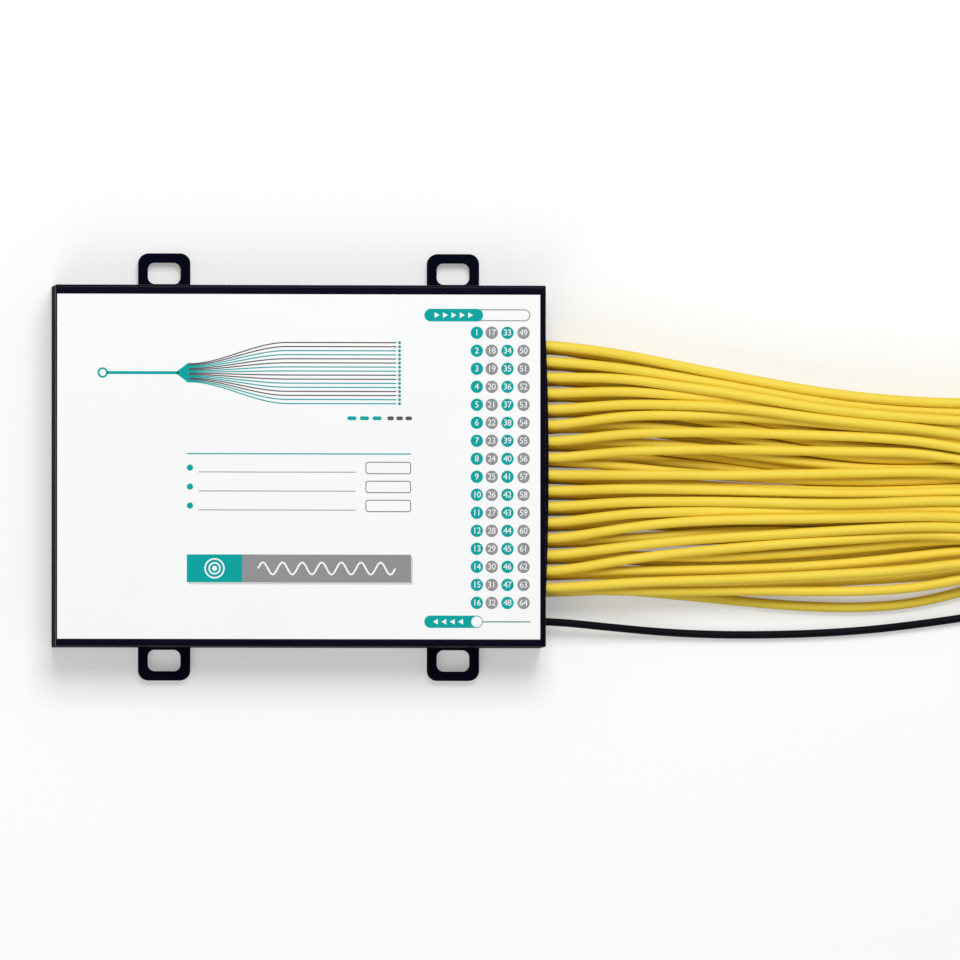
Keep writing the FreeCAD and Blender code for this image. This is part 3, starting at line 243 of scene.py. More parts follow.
# %% Cables and connectors
MOULD_GRAIN = (2600, 0.00001)
keep_finish("cable_jacket_yellow", (249, 222, 76), (244, 213, 66), (0.48, 0.58), (2400, 0.00002), 38,
            Specular_IOR_Level=0.28)
keep_finish("cable_jacket_black", (5, 5, 14), (8, 8, 20), (0.5, 0.6), (2400, 0.00002), 60,
            Specular_IOR_Level=0.08)
keep_finish("boot_rubber", (22, 22, 24), (30, 30, 32), (0.6, 0.75), (2600, 0.00003), 90)
keep_finish("plug_green", (28, 138, 74), (22, 124, 66), (0.26, 0.36), (4200, 0.00001), 120)
keep_finish("boot_green", (30, 128, 72), (24, 112, 62), (0.5, 0.62), (2600, 0.00002), 120)
keep_finish("cap_plastic", (226, 230, 226), (214, 220, 216), (0.3, 0.42), MOULD_GRAIN, 160,
            Transmission_Weight=0.35)
keep_finish("zirconia", (240, 238, 230), (232, 230, 222), (0.12, 0.2), LABEL_GRAIN, 200)
print(len(FINISHES), "finishes so far")

# %% [markdown]
# Inside the case lie bright drawn steel, open foam, glass, coated fibre and cast resin. The closed case
# hides them, but each is a piece of its own, so each has its own finish in the same way.

# %% Screws and optics
keep_finish("screw_steel", (150, 150, 152), (176, 176, 178), (0.25, 0.4), MOULD_GRAIN, 300, Metallic=1.0)
keep_finish("housing_steel", (168, 168, 170), (186, 186, 188), (0.28, 0.4), MOULD_GRAIN, 200, Metallic=1.0)
keep_finish("carrier_steel", (160, 160, 162), (178, 178, 180), (0.3, 0.42), MOULD_GRAIN, 200, Metallic=1.0)
keep_finish("foam", (52, 52, 56), (66, 66, 70), (0.85, 0.95), (1400, 0.0002), 120)
keep_finish("silica", (214, 226, 232), (224, 232, 238), (0.05, 0.1), (1000, 0.000002), 60,
            Transmission_Weight=0.7)
keep_finish("fibre_coating", (214, 226, 236), (200, 214, 228), (0.2, 0.3), (2400, 0.00001), 200)
keep_finish("block_plastic", (30, 30, 32), (40, 40, 42), (0.4, 0.5), (3600, 0.00002), 100)
keep_finish("buffer_tube", (232, 232, 226), (224, 224, 216), (0.3, 0.4), MOULD_GRAIN, 160)
keep_finish("resin", (176, 164, 134), (160, 148, 120), (0.2, 0.34), (900, 0.00002), 90,
            Transmission_Weight=0.2)
print(len(FINISHES), "finishes so far")

# %% [markdown]
# Screen inks lie on the label as thin films. A darker ink takes the light evenly and hardly shines, while
# the white and the pale shadow keep the gloss of the film below.

# %% Inks
INK_GRAIN = (2600, 0.000004)
INKS = {}
for ink, first, second in (("teal", (0, 167, 165), (0, 163, 161)), ("grey", (150, 150, 152), (146, 146, 148)),
                           ("slate", (122, 160, 158), (118, 156, 154)), ("dark", (92, 92, 96), (88, 88, 92))):
    INKS["ink_" + ink] = grained("ink_" + ink, srgb(*first), srgb(*second), (0.5, 0.58), *INK_GRAIN, 40,
                                 Specular_IOR_Level=0.08)
for ink, first, second in (("shadow", (206, 208, 208), (212, 214, 214)),
                           ("white", (251, 252, 252), (248, 249, 249))):
    INKS["ink_" + ink] = grained("ink_" + ink, srgb(*first), srgb(*second), (0.4, 0.48), *INK_GRAIN, 40)
print(len(FINISHES), "finishes and", len(INKS), "inks")

# %% [markdown]
# The straps are hook-and-loop tape. Its soft side is a pile of fine loops, which is too fine to model, so
# two textures raise it: a cell pattern for the tufts and a finer noise for the threads. A math node adds
# them up. Cloth scatters light at its edges, so the tape gets some sheen and no sharp gloss.

# %% Strap cloth
def reckoned(tree, operation, *terms):
    """A math node's result; a term is a socket or a number."""
    node = tree.nodes.new("ShaderNodeMath")
    node.operation = operation
    for term, socket in zip(terms, node.inputs):
        if isinstance(term, (int, float)):
            socket.default_value = term
        else:
            tree.links.new(term, socket)
    return node.outputs[0]


def strap_cloth():
    """Black looped tape."""
    material, tree, shader, place = start_material("strap_fabric", srgb(18, 18, 21), 0.95, Sheen_Weight=0.25,
                                                   Specular_IOR_Level=0.15)
    tufts = tree.nodes.new("ShaderNodeTexVoronoi")
    tufts.inputs["Scale"].default_value = 1900
    tree.links.new(place, tufts.inputs["Vector"])
    threads = noise(tree, place, 6500, 3.0, 0.7)
    pile = reckoned(tree, "MULTIPLY_ADD", threads, 0.45, tufts.outputs["Distance"])
    tones = blend_colours(tree, spread(tree, pile, 0, 1), srgb(14, 14, 17), srgb(36, 36, 40))
    tree.links.new(tones, shader.inputs["Base Color"])
    bump(tree, shader, pile, 0.00025, 0.8)
    return material


FINISHES["strap_fabric"] = strap_cloth()
print(len(FINISHES), "finishes with the straps' cloth")

# %% [markdown]
# ## Cable routes
# Sixty-four output cables leave the plate in sixteen rows and four layers. Each route is a short list of
# control points: out of its hole, down to the floor, across the fan, into the gathered bundle, round the
# folded hank and out again to its connector. A smooth spline needs nothing more.

# %% Holes in the exit plate
ROWS, LEVELS = 16, 4
ROW_PITCH, LEVEL_PITCH, FIRST_LEVEL = 4.627, 3.2, 4.4
CABLE, INPUT_CABLE = 2.8, 2.2
START_X, EXIT_X, LEVEL_SHIFT = 64.0, 72.5, 0.3
print(ROWS * LEVELS, "holes over", round((ROWS - 1) * ROW_PITCH, 1), "mm")

# %% [markdown]
# Across the fan no rule holds: a stiff cable settles as it likes and lies on its neighbours. So its places
# across are listed at eight stations, for each row of the top layer and of the one below it. A
# random spread would be shorter to write, but it would look combed or tangled, and cables would cut
# through each other.

# %% The two upper layers
FAN_X = [91.8, 105.9, 120.1, 134.2, 148.4, 162.5, 176.6, 190.8]
TOP_Y = [
    [32.2, 29.5, 26.7, 24.1, 21.6, 19.9, 18.8, 18.4],
    [28.3, 26.1, 23.7, 21.2, 18.8, 17.2, 16.1, 15.5],
    [25.4, 23.4, 21.5, 19.2, 16.8, 15.2, 14.1, 13.2],
    [21.7, 20.7, 19.5, 17.5, 15.7, 14.3, 13.1, 11.1],
    [17.9, 17.8, 17.3, 15.9, 13.9, 12.4, 11.2, 9.2],
    [14.5, 14.9, 14.7, 14.1, 12.8, 11.4, 10.2, 7.4],
    [9.4, 9.9, 10.0, 9.6, 9.2, 8.7, 7.7, 5.3],
    [4.4, 4.9, 5.1, 4.9, 4.7, 4.5, 4.3, 2.4],
    [-2.3, -2.2, -2.3, -2.0, -1.8, -1.5, -1.1, -1.7],
    [-6.2, -6.3, -6.5, -7.0, -7.4, -7.5, -7.2, -6.7],
    [-10.0, -9.8, -9.8, -10.1, -10.4, -10.3, -9.6, -9.4],
    [-13.5, -12.8, -12.6, -12.5, -12.5, -12.3, -11.8, -11.9],
    [-17.6, -15.8, -15.1, -14.8, -14.6, -14.3, -13.9, -14.2],
    [-22.9, -21.3, -20.1, -19.3, -18.4, -17.6, -16.9, -17.0],
    [-26.7, -24.8, -23.4, -22.2, -21.1, -20.2, -19.1, -19.6],
    [-33.2, -32.5, -32.1, -31.5, -30.8, -30.0, -29.0, -27.1],
]
SECOND_Y = [
    [31.1, 27.8, 24.7, 21.6, 18.8, 17.2, 16.9, 17.5],
    [27.7, 24.7, 21.7, 18.7, 15.9, 14.3, 14.0, 14.6],
    [23.9, 21.5, 18.8, 15.8, 13.0, 11.4, 11.1, 11.7],
    [20.2, 18.4, 15.9, 12.9, 10.1, 8.5, 8.2, 8.8],
    [16.4, 15.1, 12.9, 10.0, 7.2, 5.6, 5.3, 5.9],
    [12.3, 11.1, 9.3, 6.7, 4.3, 2.7, 2.4, 3.0],
    [7.3, 6.4, 5.0, 3.0, 1.1, -0.4, -0.5, 0.1],
    [0.2, -1.3, -2.3, -3.1, -3.6, -3.8, -3.5, -2.8],
    [-3.7, -4.5, -5.4, -6.1, -6.6, -6.8, -6.4, -5.7],
    [-7.7, -8.2, -8.7, -9.1, -9.5, -9.7, -9.4, -8.6],
    [-11.5, -11.6, -11.8, -12.1, -12.5, -12.6, -12.3, -11.6],
    [-15.4, -14.9, -14.8, -15.1, -15.4, -15.6, -15.2, -14.5],
    [-20.4, -19.5, -18.4, -18.1, -18.4, -18.6, -18.2, -17.4],
    [-25.2, -25.5, -25.6, -24.9, -23.9, -22.6, -21.1, -20.3],
    [-29.6, -29.5, -29.2, -28.8, -28.0, -26.8, -25.2, -23.6],
    [-35.2, -35.4, -35.2, -35.2, -35.3, -35.2, -34.3, -31.6],
]
print(len(TOP_Y), "cables on top and", len(SECOND_Y), "under them")

# %% [markdown]
# The two lower layers show only between the others. They follow the second layer with a small stagger,
# apart from a few that run on their own. Heights come from how far a layer has settled, and a cable that
# crosses its neighbour rides over it.

# %% The lower layers and the heights
STRAY_Y = [-34.7, -36.0, -37.3, -38.7, -39.6, -39.8, -38.6, -35.2]
# Cables of the two lower levels that run apart from the one above them, by level and row.
APART_Y = {
    (1, 7): [3.0, 1.6, 0.1, -1.8, -3.4, -4.8, -4.8, -3.8],
    (0, 6): [5.4, 3.8, 2.0, 0.4, -0.8, -1.6, -1.3, -0.4],
    (0, 7): [1.0, -0.6, -1.6, -2.6, -3.8, -4.5, -4.2, -3.25],
    (1, 15): [-34.6, -34.5, -34.2, -33.7, -32.8, -31.9, -31.2, -29.5],
    (0, 15): STRAY_Y,
}
# How far the cables of the two lower levels lie to the side of those in SECOND_Y.
STAGGER = [0.9, 1.7, 2.0, 1.9, 1.6, 1.4, 1.4, 0.9]
UPPER_SHARE = -0.6
LOWER_SHARE = 0.45
SETTLE = [
    [2.7, 1.8, 1.5, 1.5, 1.5, 1.5, 1.5, 1.5],
    [5.8, 4.8, 4.5, 4.5, 4.5, 4.5, 4.5, 4.5],
    [8.9, 7.9, 7.5, 7.5, 7.5, 7.5, 7.5, 7.5],
    [12.1, 11.0, 10.6, 10.5, 10.5, 10.5, 10.5, 10.5],
]
RIDING = {
    0: [0.0, 0.0, 0.0, 0.0, 0.4, 0.9, 0.9, 0.4],
    2: [0.0, 1.0, 2.1, 2.4, 2.6, 2.7, 2.7, 2.2],
    4: [0.0, 0.6, 1.9, 2.4, 2.7, 2.8, 2.8, 2.2],
    6: [0.0, 0.0, 0.0, 0.0, 0.1, 0.8, 1.5, 2.0],
    10: [0.0, 0.0, 0.6, 1.6, 2.0, 2.0, 1.9, 1.5],
    12: [0.0, 0.0, 1.4, 1.8, 2.0, 2.0, 1.9, 1.7],
    13: [0.0, 0.0, 0.0, 0.0, 0.9, 1.5, 2.0, 1.2],
}
print(len(APART_Y), "cables run apart and", len(RIDING), "ride over others")

# %% [markdown]
# Past the fan the cables close up into two halves of eight columns, each an even stack. A route is the list
# of its places: inside the plate, straight out of it, over the stations of the fan and into its half.

# %% From the plate to the bundle
GATHER_X = [204.0, 217.5, 231.0]
LOWEST, SETTLED_LIFT = 1.5, 0.7
BUNDLE_Y, PITCH, BAND, HALF_GAP = -4.0, 3.05, 3.0, 1.6


def half_rows(row):
    """The side of the bundle's middle that a row lies on, and its count out from there."""
    return (1, 7 - row) if row < 8 else (-1, row - 8)


def fan_y(row, level):
    """The places across of one cable where it fans out from the case."""
    if level == 3:
        return TOP_Y[row]
    if level == 2:
        return SECOND_Y[row]
    if (level, row) in APART_Y:
        return APART_Y[level, row]
    share = 1.0 if level == 1 else UPPER_SHARE if row < 8 else LOWER_SHARE
    return [y - share * step for y, step in zip(SECOND_Y[row], STAGGER)]


def fan_points(row, level):
    """One output cable from its anchor to the gathered bundle, in millimetres."""
    y = ((ROWS - 1) / 2 - row) * ROW_PITCH - (LEVELS - 1 - level) * LEVEL_SHIFT
    z = FIRST_LEVEL + level * LEVEL_PITCH
    lift = RIDING.get(row, [0.0] * 8) if level == 3 else [0.0] * 8
    points = [(START_X, y, z), (EXIT_X, y, z)]
    for x, across, high, up in zip(FAN_X, fan_y(row, level), SETTLE[level], lift):
        points.append((x, across, high + up))
    side, count = half_rows(row)
    neat = BUNDLE_Y + side * (HALF_GAP + PITCH * count)
    low = LOWEST + BAND * level
    points.append((GATHER_X[0], (points[-1][1] + neat) / 2, low + lift[-1] * SETTLED_LIFT))
    points += [(x, neat, low) for x in GATHER_X[1:]]
    return points


print("a cable has", len(fan_points(0, 0)), "points up to the bundle")

# %% [markdown]
# The flat fan has to become one round bundle. Its two halves slide over each other, close up into a
# square of eight by eight, and the square relaxes into four rings. Each stage is a frame on the middle
# line: a place, a heading, and where every cable lies across it.

# %% Stages of the bundle
GATHER_PATH = [(231.0, -4.0), (246.0, -7.0), (260.5, -14.5), (274.0, -24.0), (288.5, -33.5),
               (304.5, -40.5), (321.5, -43.6), (338.0, -44.0)]
BUNDLE_Z, RING_RADIUS, RING_STEP = 15.6, 2.05, 3.58


def headings(path):
    """The heading at each place of a path, straight ahead at both ends."""
    turns = [math.atan2(b[1] - a[1], b[0] - a[0]) for a, b in zip(path, path[2:])]
    return [0.0] + turns + [0.0]


def set_out(centre, heading, u, z):
    """A point u to the left of the bundle's middle."""
    return (centre[0] - u * math.sin(heading), centre[1] + u * math.cos(heading), z)


def ring_place(column, rank):
    """Moves a place of an eight by eight square onto four rings of a round bundle."""
    a, b = column - 3.5, rank - 3.5
    reach = max(abs(a), abs(b))
    radius = RING_RADIUS + RING_STEP * (reach - 0.5)
    if abs(a) >= abs(b):
        angle = math.pi / 4 * b / a + (0 if a > 0 else math.pi)
    else:
        angle = math.pi / 2 - math.pi / 4 * a / b + (0 if b > 0 else math.pi)
    return radius * math.cos(angle), BUNDLE_Z + radius * math.sin(angle)


print("outer ring", round(ring_place(7, 4)[0], 2), "mm from the middle")

# %% [markdown]
# Pigtails are packed as a flat hank: away from the case, back, and away again. A coil would be rounder, but
# it twists each cable once a turn, and the hank doesn't. Every cable keeps its place across the bundle, so
# a cable on the outside takes a wider turn.

# %% Folds of the hank
FOLD, RIGHT_FOLD, LEFT_FOLD = 22.0, 452.0, 314.0
AWAY_X, BACK_X, LAST_X = (376.0, 414.0), (425.0, 383.0, 341.0), (343.0, 384.0)


def half_turn(x, y, radius, way, z):
    """Control points of a half turn that starts at the lower side and heads +X or -X."""
    reach = radius / math.cos(math.radians(22.5))
    angles = [math.radians(-90 + way * (22.5 + 45 * step)) for step in range(4)]
    return [(x + reach * math.cos(a), y + reach * math.sin(a), z) for a in angles]


def folded(u, z_first, z_later):
    """One cable round the hank: away, back and away again, u to the left of the middle all the way."""
    points = [(x, u - 2 * FOLD, z_first) for x in AWAY_X]
    points += half_turn(RIGHT_FOLD, -FOLD, FOLD - u, 1, z_later)
    points += [(x, -u, z_later) for x in BACK_X]
    points += half_turn(LEFT_FOLD, FOLD, FOLD + u, -1, z_later)
    points += [(x, u + 2 * FOLD, z_later) for x in LAST_X]
    return points


inner_edge = min(ring_place(0, rank)[0] for rank in range(8))
print("the innermost fold has a radius of", round(FOLD + inner_edge, 1), "mm")

# %% [markdown]
# After the hank the same stages run backwards: rings, square, two stacked halves, and then the cables
# spread until each stands behind its own connector.

# %% From the hank to the connectors
SPREAD_PATH = [(424.0, 44.0), (439.0, 43.9), (469.0, 40.5), (490.0, 32.0), (507.0, 21.5),
               (522.5, 11.5), (539.0, 5.0), (557.0, 2.0), (574.0, 2.0)]
OVERLAP, APART_START, APART_PITCH, SPREAD_PITCHES = 8.0, 1.9, 3.4, (4.6, 6.2, 7.2)
PLUG_PITCH, PLUG_LEVEL = 7.5, 9.1


def spread_points(side, count, square, bundled, ring, level, stacked):
    """The end of a cable, from the round bundle to its connector."""
    plug = PLUG_LEVEL * (level + 0.5)
    apart = side * (APART_START + APART_PITCH * count)
    wide = [side * pitch * (count + 0.5) for pitch in SPREAD_PITCHES]
    rise = [stacked + (plug - stacked) * share for share in (0.2, 0.55, 0.9)]
    final = (side * PLUG_PITCH * (count + 0.5), plug)
    stages = [ring, (square, bundled), ((square + apart) / 2, stacked), (apart, stacked)]
    stages += list(zip(wide, rise)) + [final, final]
    turns = headings(SPREAD_PATH)
    turns[-2] = 0.0
    points = [set_out(c, h, u, z) for c, h, (u, z) in zip(SPREAD_PATH, turns, stages)]
    heading = turns[1]
    along = (SPREAD_PATH[1][0] + OVERLAP * math.cos(heading), SPREAD_PATH[1][1] + OVERLAP * math.sin(heading))
    points.insert(2, set_out(along, heading, square, bundled))
    return points


print("connectors stand", PLUG_PITCH, "mm apart, in layers of", PLUG_LEVEL, "mm")

# %% [markdown]
# A whole cable is its stretches in a row: across the fan, into the bundle by its stages, round the hank
# and out to the connector. Its row and its layer decide its place in each of them.

# %% A whole output cable
SQUARE_Z, HALF_RISE = 12.2, 0.48


def output_route(row, level):
    """One whole output cable, in millimetres."""
    side, count = half_rows(row)
    column = count if side > 0 else 7 - count
    rank = level + 4 if side > 0 else level
    neat = side * (HALF_GAP + PITCH * count)
    square = (column - 3.5) * PITCH
    upper = LEVELS * BAND if side > 0 else 0.0
    low = LOWEST + BAND * level
    bundled = SQUARE_Z + (rank - 3.5) * PITCH
    ring = ring_place(column, rank)
    gathered = [(neat, low + upper * HALF_RISE), (neat, low + upper), ((neat + square) / 2, low + upper),
                (square, bundled), ring, ring, ring]
    points = fan_points(row, level)
    turns = headings(GATHER_PATH)
    for centre, heading, (u, z) in zip(GATHER_PATH[1:], turns[1:], gathered):
        points.append(set_out(centre, heading, u, z))
    points += folded(*ring, ring[1])
    return points + spread_points(side, count, square, bundled, ring, level, low + upper)


print("a whole output cable has", len(output_route(0, 0)), "points")

# %% [markdown]
# The input cable is thinner and black. It leaves the case below the outputs, keeps to the floor beside
# the bundle, goes round with the hank and ends in a connector of its own.

# %% Input cable
INPUT_START = (43.9, 6.0)
BESIDE, UNDER_Z, HANK_Z = 10.8, 1.2, 2.6
INPUT_Y = [-45.8, -47.0, -47.6, -47.6, -47.2, -46.3, -44.7, -42.7]
INPUT_Z = [3.4, 1.8, 1.2, 1.2, 1.2, 1.2, 1.2, 1.2]
INPUT_GATHER_Y = [-40.4, -38.6]
INPUT_BACK_X, INPUT_LAST_X = (425.0, 392.0, 359.0, 331.0), (333.0, 361.0, 389.0)


def input_route():
    """The whole input cable, in millimetres."""
    side, high = INPUT_START
    points = [(START_X, -side, high), (EXIT_X, -side, high)]
    points += list(zip(FAN_X, INPUT_Y, INPUT_Z))
    points += [(x, y, UNDER_Z) for x, y in zip(GATHER_X, INPUT_GATHER_Y)]
    outside = [-30.0, -27.5, -21.5, -15.5, -12.0, -11.0, -BESIDE]
    for centre, heading, u in zip(GATHER_PATH[1:], headings(GATHER_PATH)[1:], outside):
        points.append(set_out(centre, heading, u, UNDER_Z))
    clear = BESIDE + 0.3
    points += [(x, -2 * FOLD - clear, UNDER_Z) for x in AWAY_X]
    points += half_turn(RIGHT_FOLD, -FOLD, FOLD + BESIDE, 1, HANK_Z)
    points += [(x, clear, HANK_Z) for x in INPUT_BACK_X]
    points += half_turn(LEFT_FOLD, FOLD, FOLD - BESIDE, -1, HANK_Z)
    points += [(x, 2 * FOLD - clear, HANK_Z) for x in INPUT_LAST_X]
    level = PLUG_LEVEL / 2
    column = -8.5 * PLUG_PITCH
    tail = [(-BESIDE, 2.4), (-13.6, 1.3), (-21.0, 1.3), (-29.3, 1.3), (-39.0, 1.6), (-51.0, 2.8),
            (-60.5, 4.2)]
    turns = headings(SPREAD_PATH)
    turns[-2] = 0.0
    for centre, heading, (u, z) in zip(SPREAD_PATH, turns, tail + [(column, level)] * 2):
        points.append(set_out(centre, heading, u, z))
    return points


print("the input cable has", len(input_route()), "points")

# %% [markdown]
# Each route becomes one curve object with a round bevel. The spline is a NURBS of the third order whose
# ends sit on the first and last points, so it leaves its hole straight and bends without a kink.

# %% Cable curves
SIDE_STEPS, ALONG_STEPS = 5, 4


def cable_curve(name, route, diameter, finish):
    """A bevelled spline along a route given in millimetres."""
    data = bpy.data.curves.new(name, "CURVE")
    data.dimensions = "3D"
    data.bevel_depth = diameter / 2 * MM
    data.bevel_resolution = SIDE_STEPS
    data.resolution_u = ALONG_STEPS
    data.use_fill_caps = True
    spline = data.splines.new("NURBS")
    spline.points.add(len(route) - 1)
    for point, spot in zip(spline.points, route):
        point.co = (spot[0] * MM, spot[1] * MM, spot[2] * MM, 1.0)
    spline.order_u = 3
    spline.use_endpoint_u = True
    data.materials.append(finish)
    return placed(name, data)


print("ends are capped, with", SIDE_STEPS, "steps to the bevel's half")

# %% [markdown]
# The real length of a cord can't be told from the points of its route, because the spline cuts
# inside their corners, so a copy without its bevel becomes a plain chain, whose steps are added up.

# %% Length of a cable
def spline_length(curve):
    """The length of a spline, read from a copy without its bevel."""
    bare = curve.copy()
    bare.data = curve.data.copy()
    bare.data.bevel_depth = 0.0
    bpy.context.scene.collection.objects.link(bare)
    bpy.context.view_layer.update()
    mesh = bpy.data.meshes.new_from_object(bare.evaluated_get(bpy.context.evaluated_depsgraph_get()))
    spots = [vertex.co for vertex in mesh.vertices]
    length = sum((b - a).length for a, b in zip(spots, spots[1:]))
    bpy.data.objects.remove(bare)
    bpy.data.meshes.remove(mesh)
    return length


print("a chain has", ALONG_STEPS, "steps from one point of the route to the next")

# %% [markdown]
# All sixty-four output cables are drawn whole, from the anchor to the connector, and stand for the CAD's
# fan, bundle and tails. The frame takes forty declared cords at most, so the upper layers are declared, and
# the rest ride the part without it.

# %% Output cables
DECLARED_CABLES = 39
HIDDEN_BUNDLE = ["cable_gather", "cable_hank", "cable_spread"]
declared = 0
lengths = []
for level in reversed(range(LEVELS)):
    for row in range(ROWS):
        route = output_route(row, level)
        layer = level + 1
        cable = cable_curve(f"output_cable_{layer}_{row + 1:02d}", route, CABLE,
                            FINISHES["cable_jacket_yellow"])
        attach(cable, "root")
        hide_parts(f"output_cables_layer_{layer}", f"output_tails_layer_{layer}", *HIDDEN_BUNDLE)
        length = spline_length(cable)
        lengths.append(length)
        if declared < DECLARED_CABLES:
            declared += 1
print(len(lengths), "output cables of", round(min(lengths), 3), "to", round(max(lengths), 3), "m")

# %% [markdown]
# The real input cable is a thinner black one, and nothing hides it, so it is drawn as well, with its own
# connector at the end.

# %% Input cable on its route
route = input_route()
input_cable = cable_curve("input_cable_curve", route, INPUT_CABLE, FINISHES["cable_jacket_black"])
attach(input_cable, "root")
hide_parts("input_cable")
input_length = spline_length(input_cable)
print("input cable", round(input_length, 3), "m")

# %% [markdown]
# ## Case and fittings
# The case, its screws, the optics inside and the connectors keep the shapes of their CAD solids. A solid
# from CAD has knife edges, and nothing moulded has: on a real edge a narrow round catches the light. A
# bevel needs shared edges, which the CAD mesh lacks, so a piece that is seen gets a copy with its points
# merged, and the copy takes the solid's place. What is hidden inside keeps its own mesh.

# %% Rounds on the seen solids
ROUNDS = {"base_shell": 0.3, "lid": 0.3, "exit_plate": 0.15, "face_label": 0.06, "case_screws": 0.12,
          "input_bush": 0.15, "hank_ties": 0.2, "input_plug_boot": 0.15, "input_plug_housing": 0.3,
          "input_plug_cap": 0.4}
for number in range(1, LEVELS + 1):
    ROUNDS.update({f"sc_boots_layer_{number}": 0.15, f"sc_housings_layer_{number}": 0.3,
                   f"sc_caps_layer_{number}": 0.4})


def rounded_copy(name, finish, width):
    """A merged copy of a CAD solid with narrow rounds on its sharp edges."""
    data = NODES[name].data.copy()
    data.name = name + "_rounded"
    data.attributes.remove(data.attributes["custom_normal"])
    mesh = bmesh.new()
    mesh.from_mesh(data)
    bmesh.ops.remove_doubles(mesh, verts=mesh.verts, dist=0.001 * MM)
    bmesh.ops.dissolve_limit(mesh, angle_limit=math.radians(0.4), verts=mesh.verts, edges=mesh.edges)
    for face in mesh.faces:
        face.smooth = True
    mesh.to_mesh(data)
    mesh.free()
    data.materials.clear()
    data.materials.append(finish)
    made = placed(name + "_rounded", data)
    edge = made.modifiers.new("rounds", "BEVEL")
    edge.width = width * MM
    edge.segments = 2
    edge.limit_method = "ANGLE"
    edge.angle_limit = math.radians(35)
    edge.use_clamp_overlap = False
    level_faces = made.modifiers.new("level_faces", "WEIGHTED_NORMAL")
    level_faces.weight = 80
    return made


print(len(ROUNDS), "solids are to have rounds")

# %% [markdown]
# Every node has a slot in the record, which names its finish. A solid with rounds hands its place to the
# copy, and one inside the case keeps its mesh and only takes the finish.

# %% Slots and finishes
SLOT_OF = {entry["node"]: entry["material_slot"] for entry in frame["record"]["subparts"]}
SMOOTHER = {"lid": "lid_plastic"}
rounded = 0
for name, node in NODES.items():
    if node.hide_render:
        continue
    finish = FINISHES[SMOOTHER.get(name, SLOT_OF[name])]
    if name in ROUNDS:
        copy = rounded_copy(name, finish, ROUNDS[name])
        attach(copy, "root")
        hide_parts(name)
        rounded += 1
    else:
        node.data.materials.clear()
        node.data.materials.append(finish)
print(rounded, "solids with rounds")

# %% [markdown]
# Some of what follows is one small shape on a strict grid: the finger ridges of the connectors, the discs
# of the port map, the arrow heads. They could be looped in mesh code, but a Geometry Nodes tree says the
# rule once, with its sizes as named inputs. A tree is read from its points to its finish, and its result
# becomes a plain mesh straight away.

# %% Inputs and points of a tree
def sized_tree(name, sizes):
    """A tree with named inputs and a geometry output; gives the tree and the sockets of its inputs."""
    tree = bpy.data.node_groups.new(name, "GeometryNodeTree")
    for size, kind in sizes:
        tree.interface.new_socket(name=size, in_out="INPUT", socket_type="NodeSocket" + kind)
    tree.interface.new_socket(name="Geometry", in_out="OUTPUT", socket_type="NodeSocketGeometry")
    return tree, tree.nodes.new("NodeGroupInput").outputs


def point_grid(tree, columns, column_pitch, rows, row_pitch):
    """A grid of points on its own middle; a side is one pitch less than its count."""
    grid = tree.nodes.new("GeometryNodeMeshGrid")
    for axis, count, pitch in (("X", columns, column_pitch), ("Y", rows, row_pitch)):
        side = reckoned(tree, "MULTIPLY", reckoned(tree, "SUBTRACT", count, 1), pitch)
        tree.links.new(side, grid.inputs["Size " + axis])
        tree.links.new(count, grid.inputs["Vertices " + axis])
    return grid.outputs["Mesh"]


print("a grid of points is measured from its counts and pitches")

# %% [markdown]
# An instance is only a reference to a shape. It is quick, but a plain mesh can't hold it, so the tree makes
# the instances real before it sets their finish.

# %% Shapes on the points
def on_points(tree, points, shape, turn=None):
    """The shape on every point, as real geometry."""
    spread_out = tree.nodes.new("GeometryNodeInstanceOnPoints")
    tree.links.new(points, spread_out.inputs["Points"])
    tree.links.new(shape, spread_out.inputs["Instance"])
    if turn:
        tree.links.new(turn, spread_out.inputs["Rotation"])
    real = tree.nodes.new("GeometryNodeRealizeInstances")
    tree.links.new(spread_out.outputs["Instances"], real.inputs["Geometry"])
    return real.outputs["Geometry"]


def close_tree(tree, geometry, finish):
    """Gives the geometry its finish and sends it to the output."""
    finished = tree.nodes.new("GeometryNodeSetMaterial")
    tree.links.new(geometry, finished.inputs["Geometry"])
    tree.links.new(finish, finished.inputs["Material"])
    tree.links.new(finished.outputs["Geometry"], tree.nodes.new("NodeGroupOutput").inputs["Geometry"])
    return tree


print("a tree ends with real geometry and its finish")

# %% [markdown]
# The tree works as a modifier on an empty mesh. The inputs are set first, by the identifier of their
# socket, and then the evaluated mesh is kept and the modifier goes.

# %% A tree's plain mesh
def grown(name, tree, values):
    """The plain mesh that a tree makes with the given inputs, as an object that has no modifier."""
    seed = placed(name, bpy.data.meshes.new(name + "_seed"))
    maker = seed.modifiers.new("maker", "NODES")
    maker.node_group = tree
    for socket in tree.interface.items_tree:
        if socket.in_out == "INPUT":
            maker[socket.identifier] = values[socket.name]
    bpy.context.view_layer.update()
    made = bpy.data.meshes.new_from_object(seed.evaluated_get(bpy.context.evaluated_depsgraph_get()))
    seed.modifiers.remove(maker)
    spare, seed.data = seed.data, made
    bpy.data.meshes.remove(spare)
    made.name = name
    return seed


print("a tree's mesh is kept as a plain one")

# %% [markdown]
# Each connector housing has a shallow recess on both sides for the fingers, with low ridges across it.
# That is one bar repeated along the recess, across the row of connectors and up its layers: a grid of
# points, the same grid again for each layer, and a bar on each point.

# %% A tree for a bank of ridges
RIDGE_SIZES = [("Along", "Int"), ("Along Pitch", "Float"), ("Across", "Int"), ("Across Pitch", "Float"),
               ("Layers", "Int"), ("Layer Pitch", "Float"), ("Middle", "Vector"), ("Bar", "Vector"),
               ("Finish", "Material")]


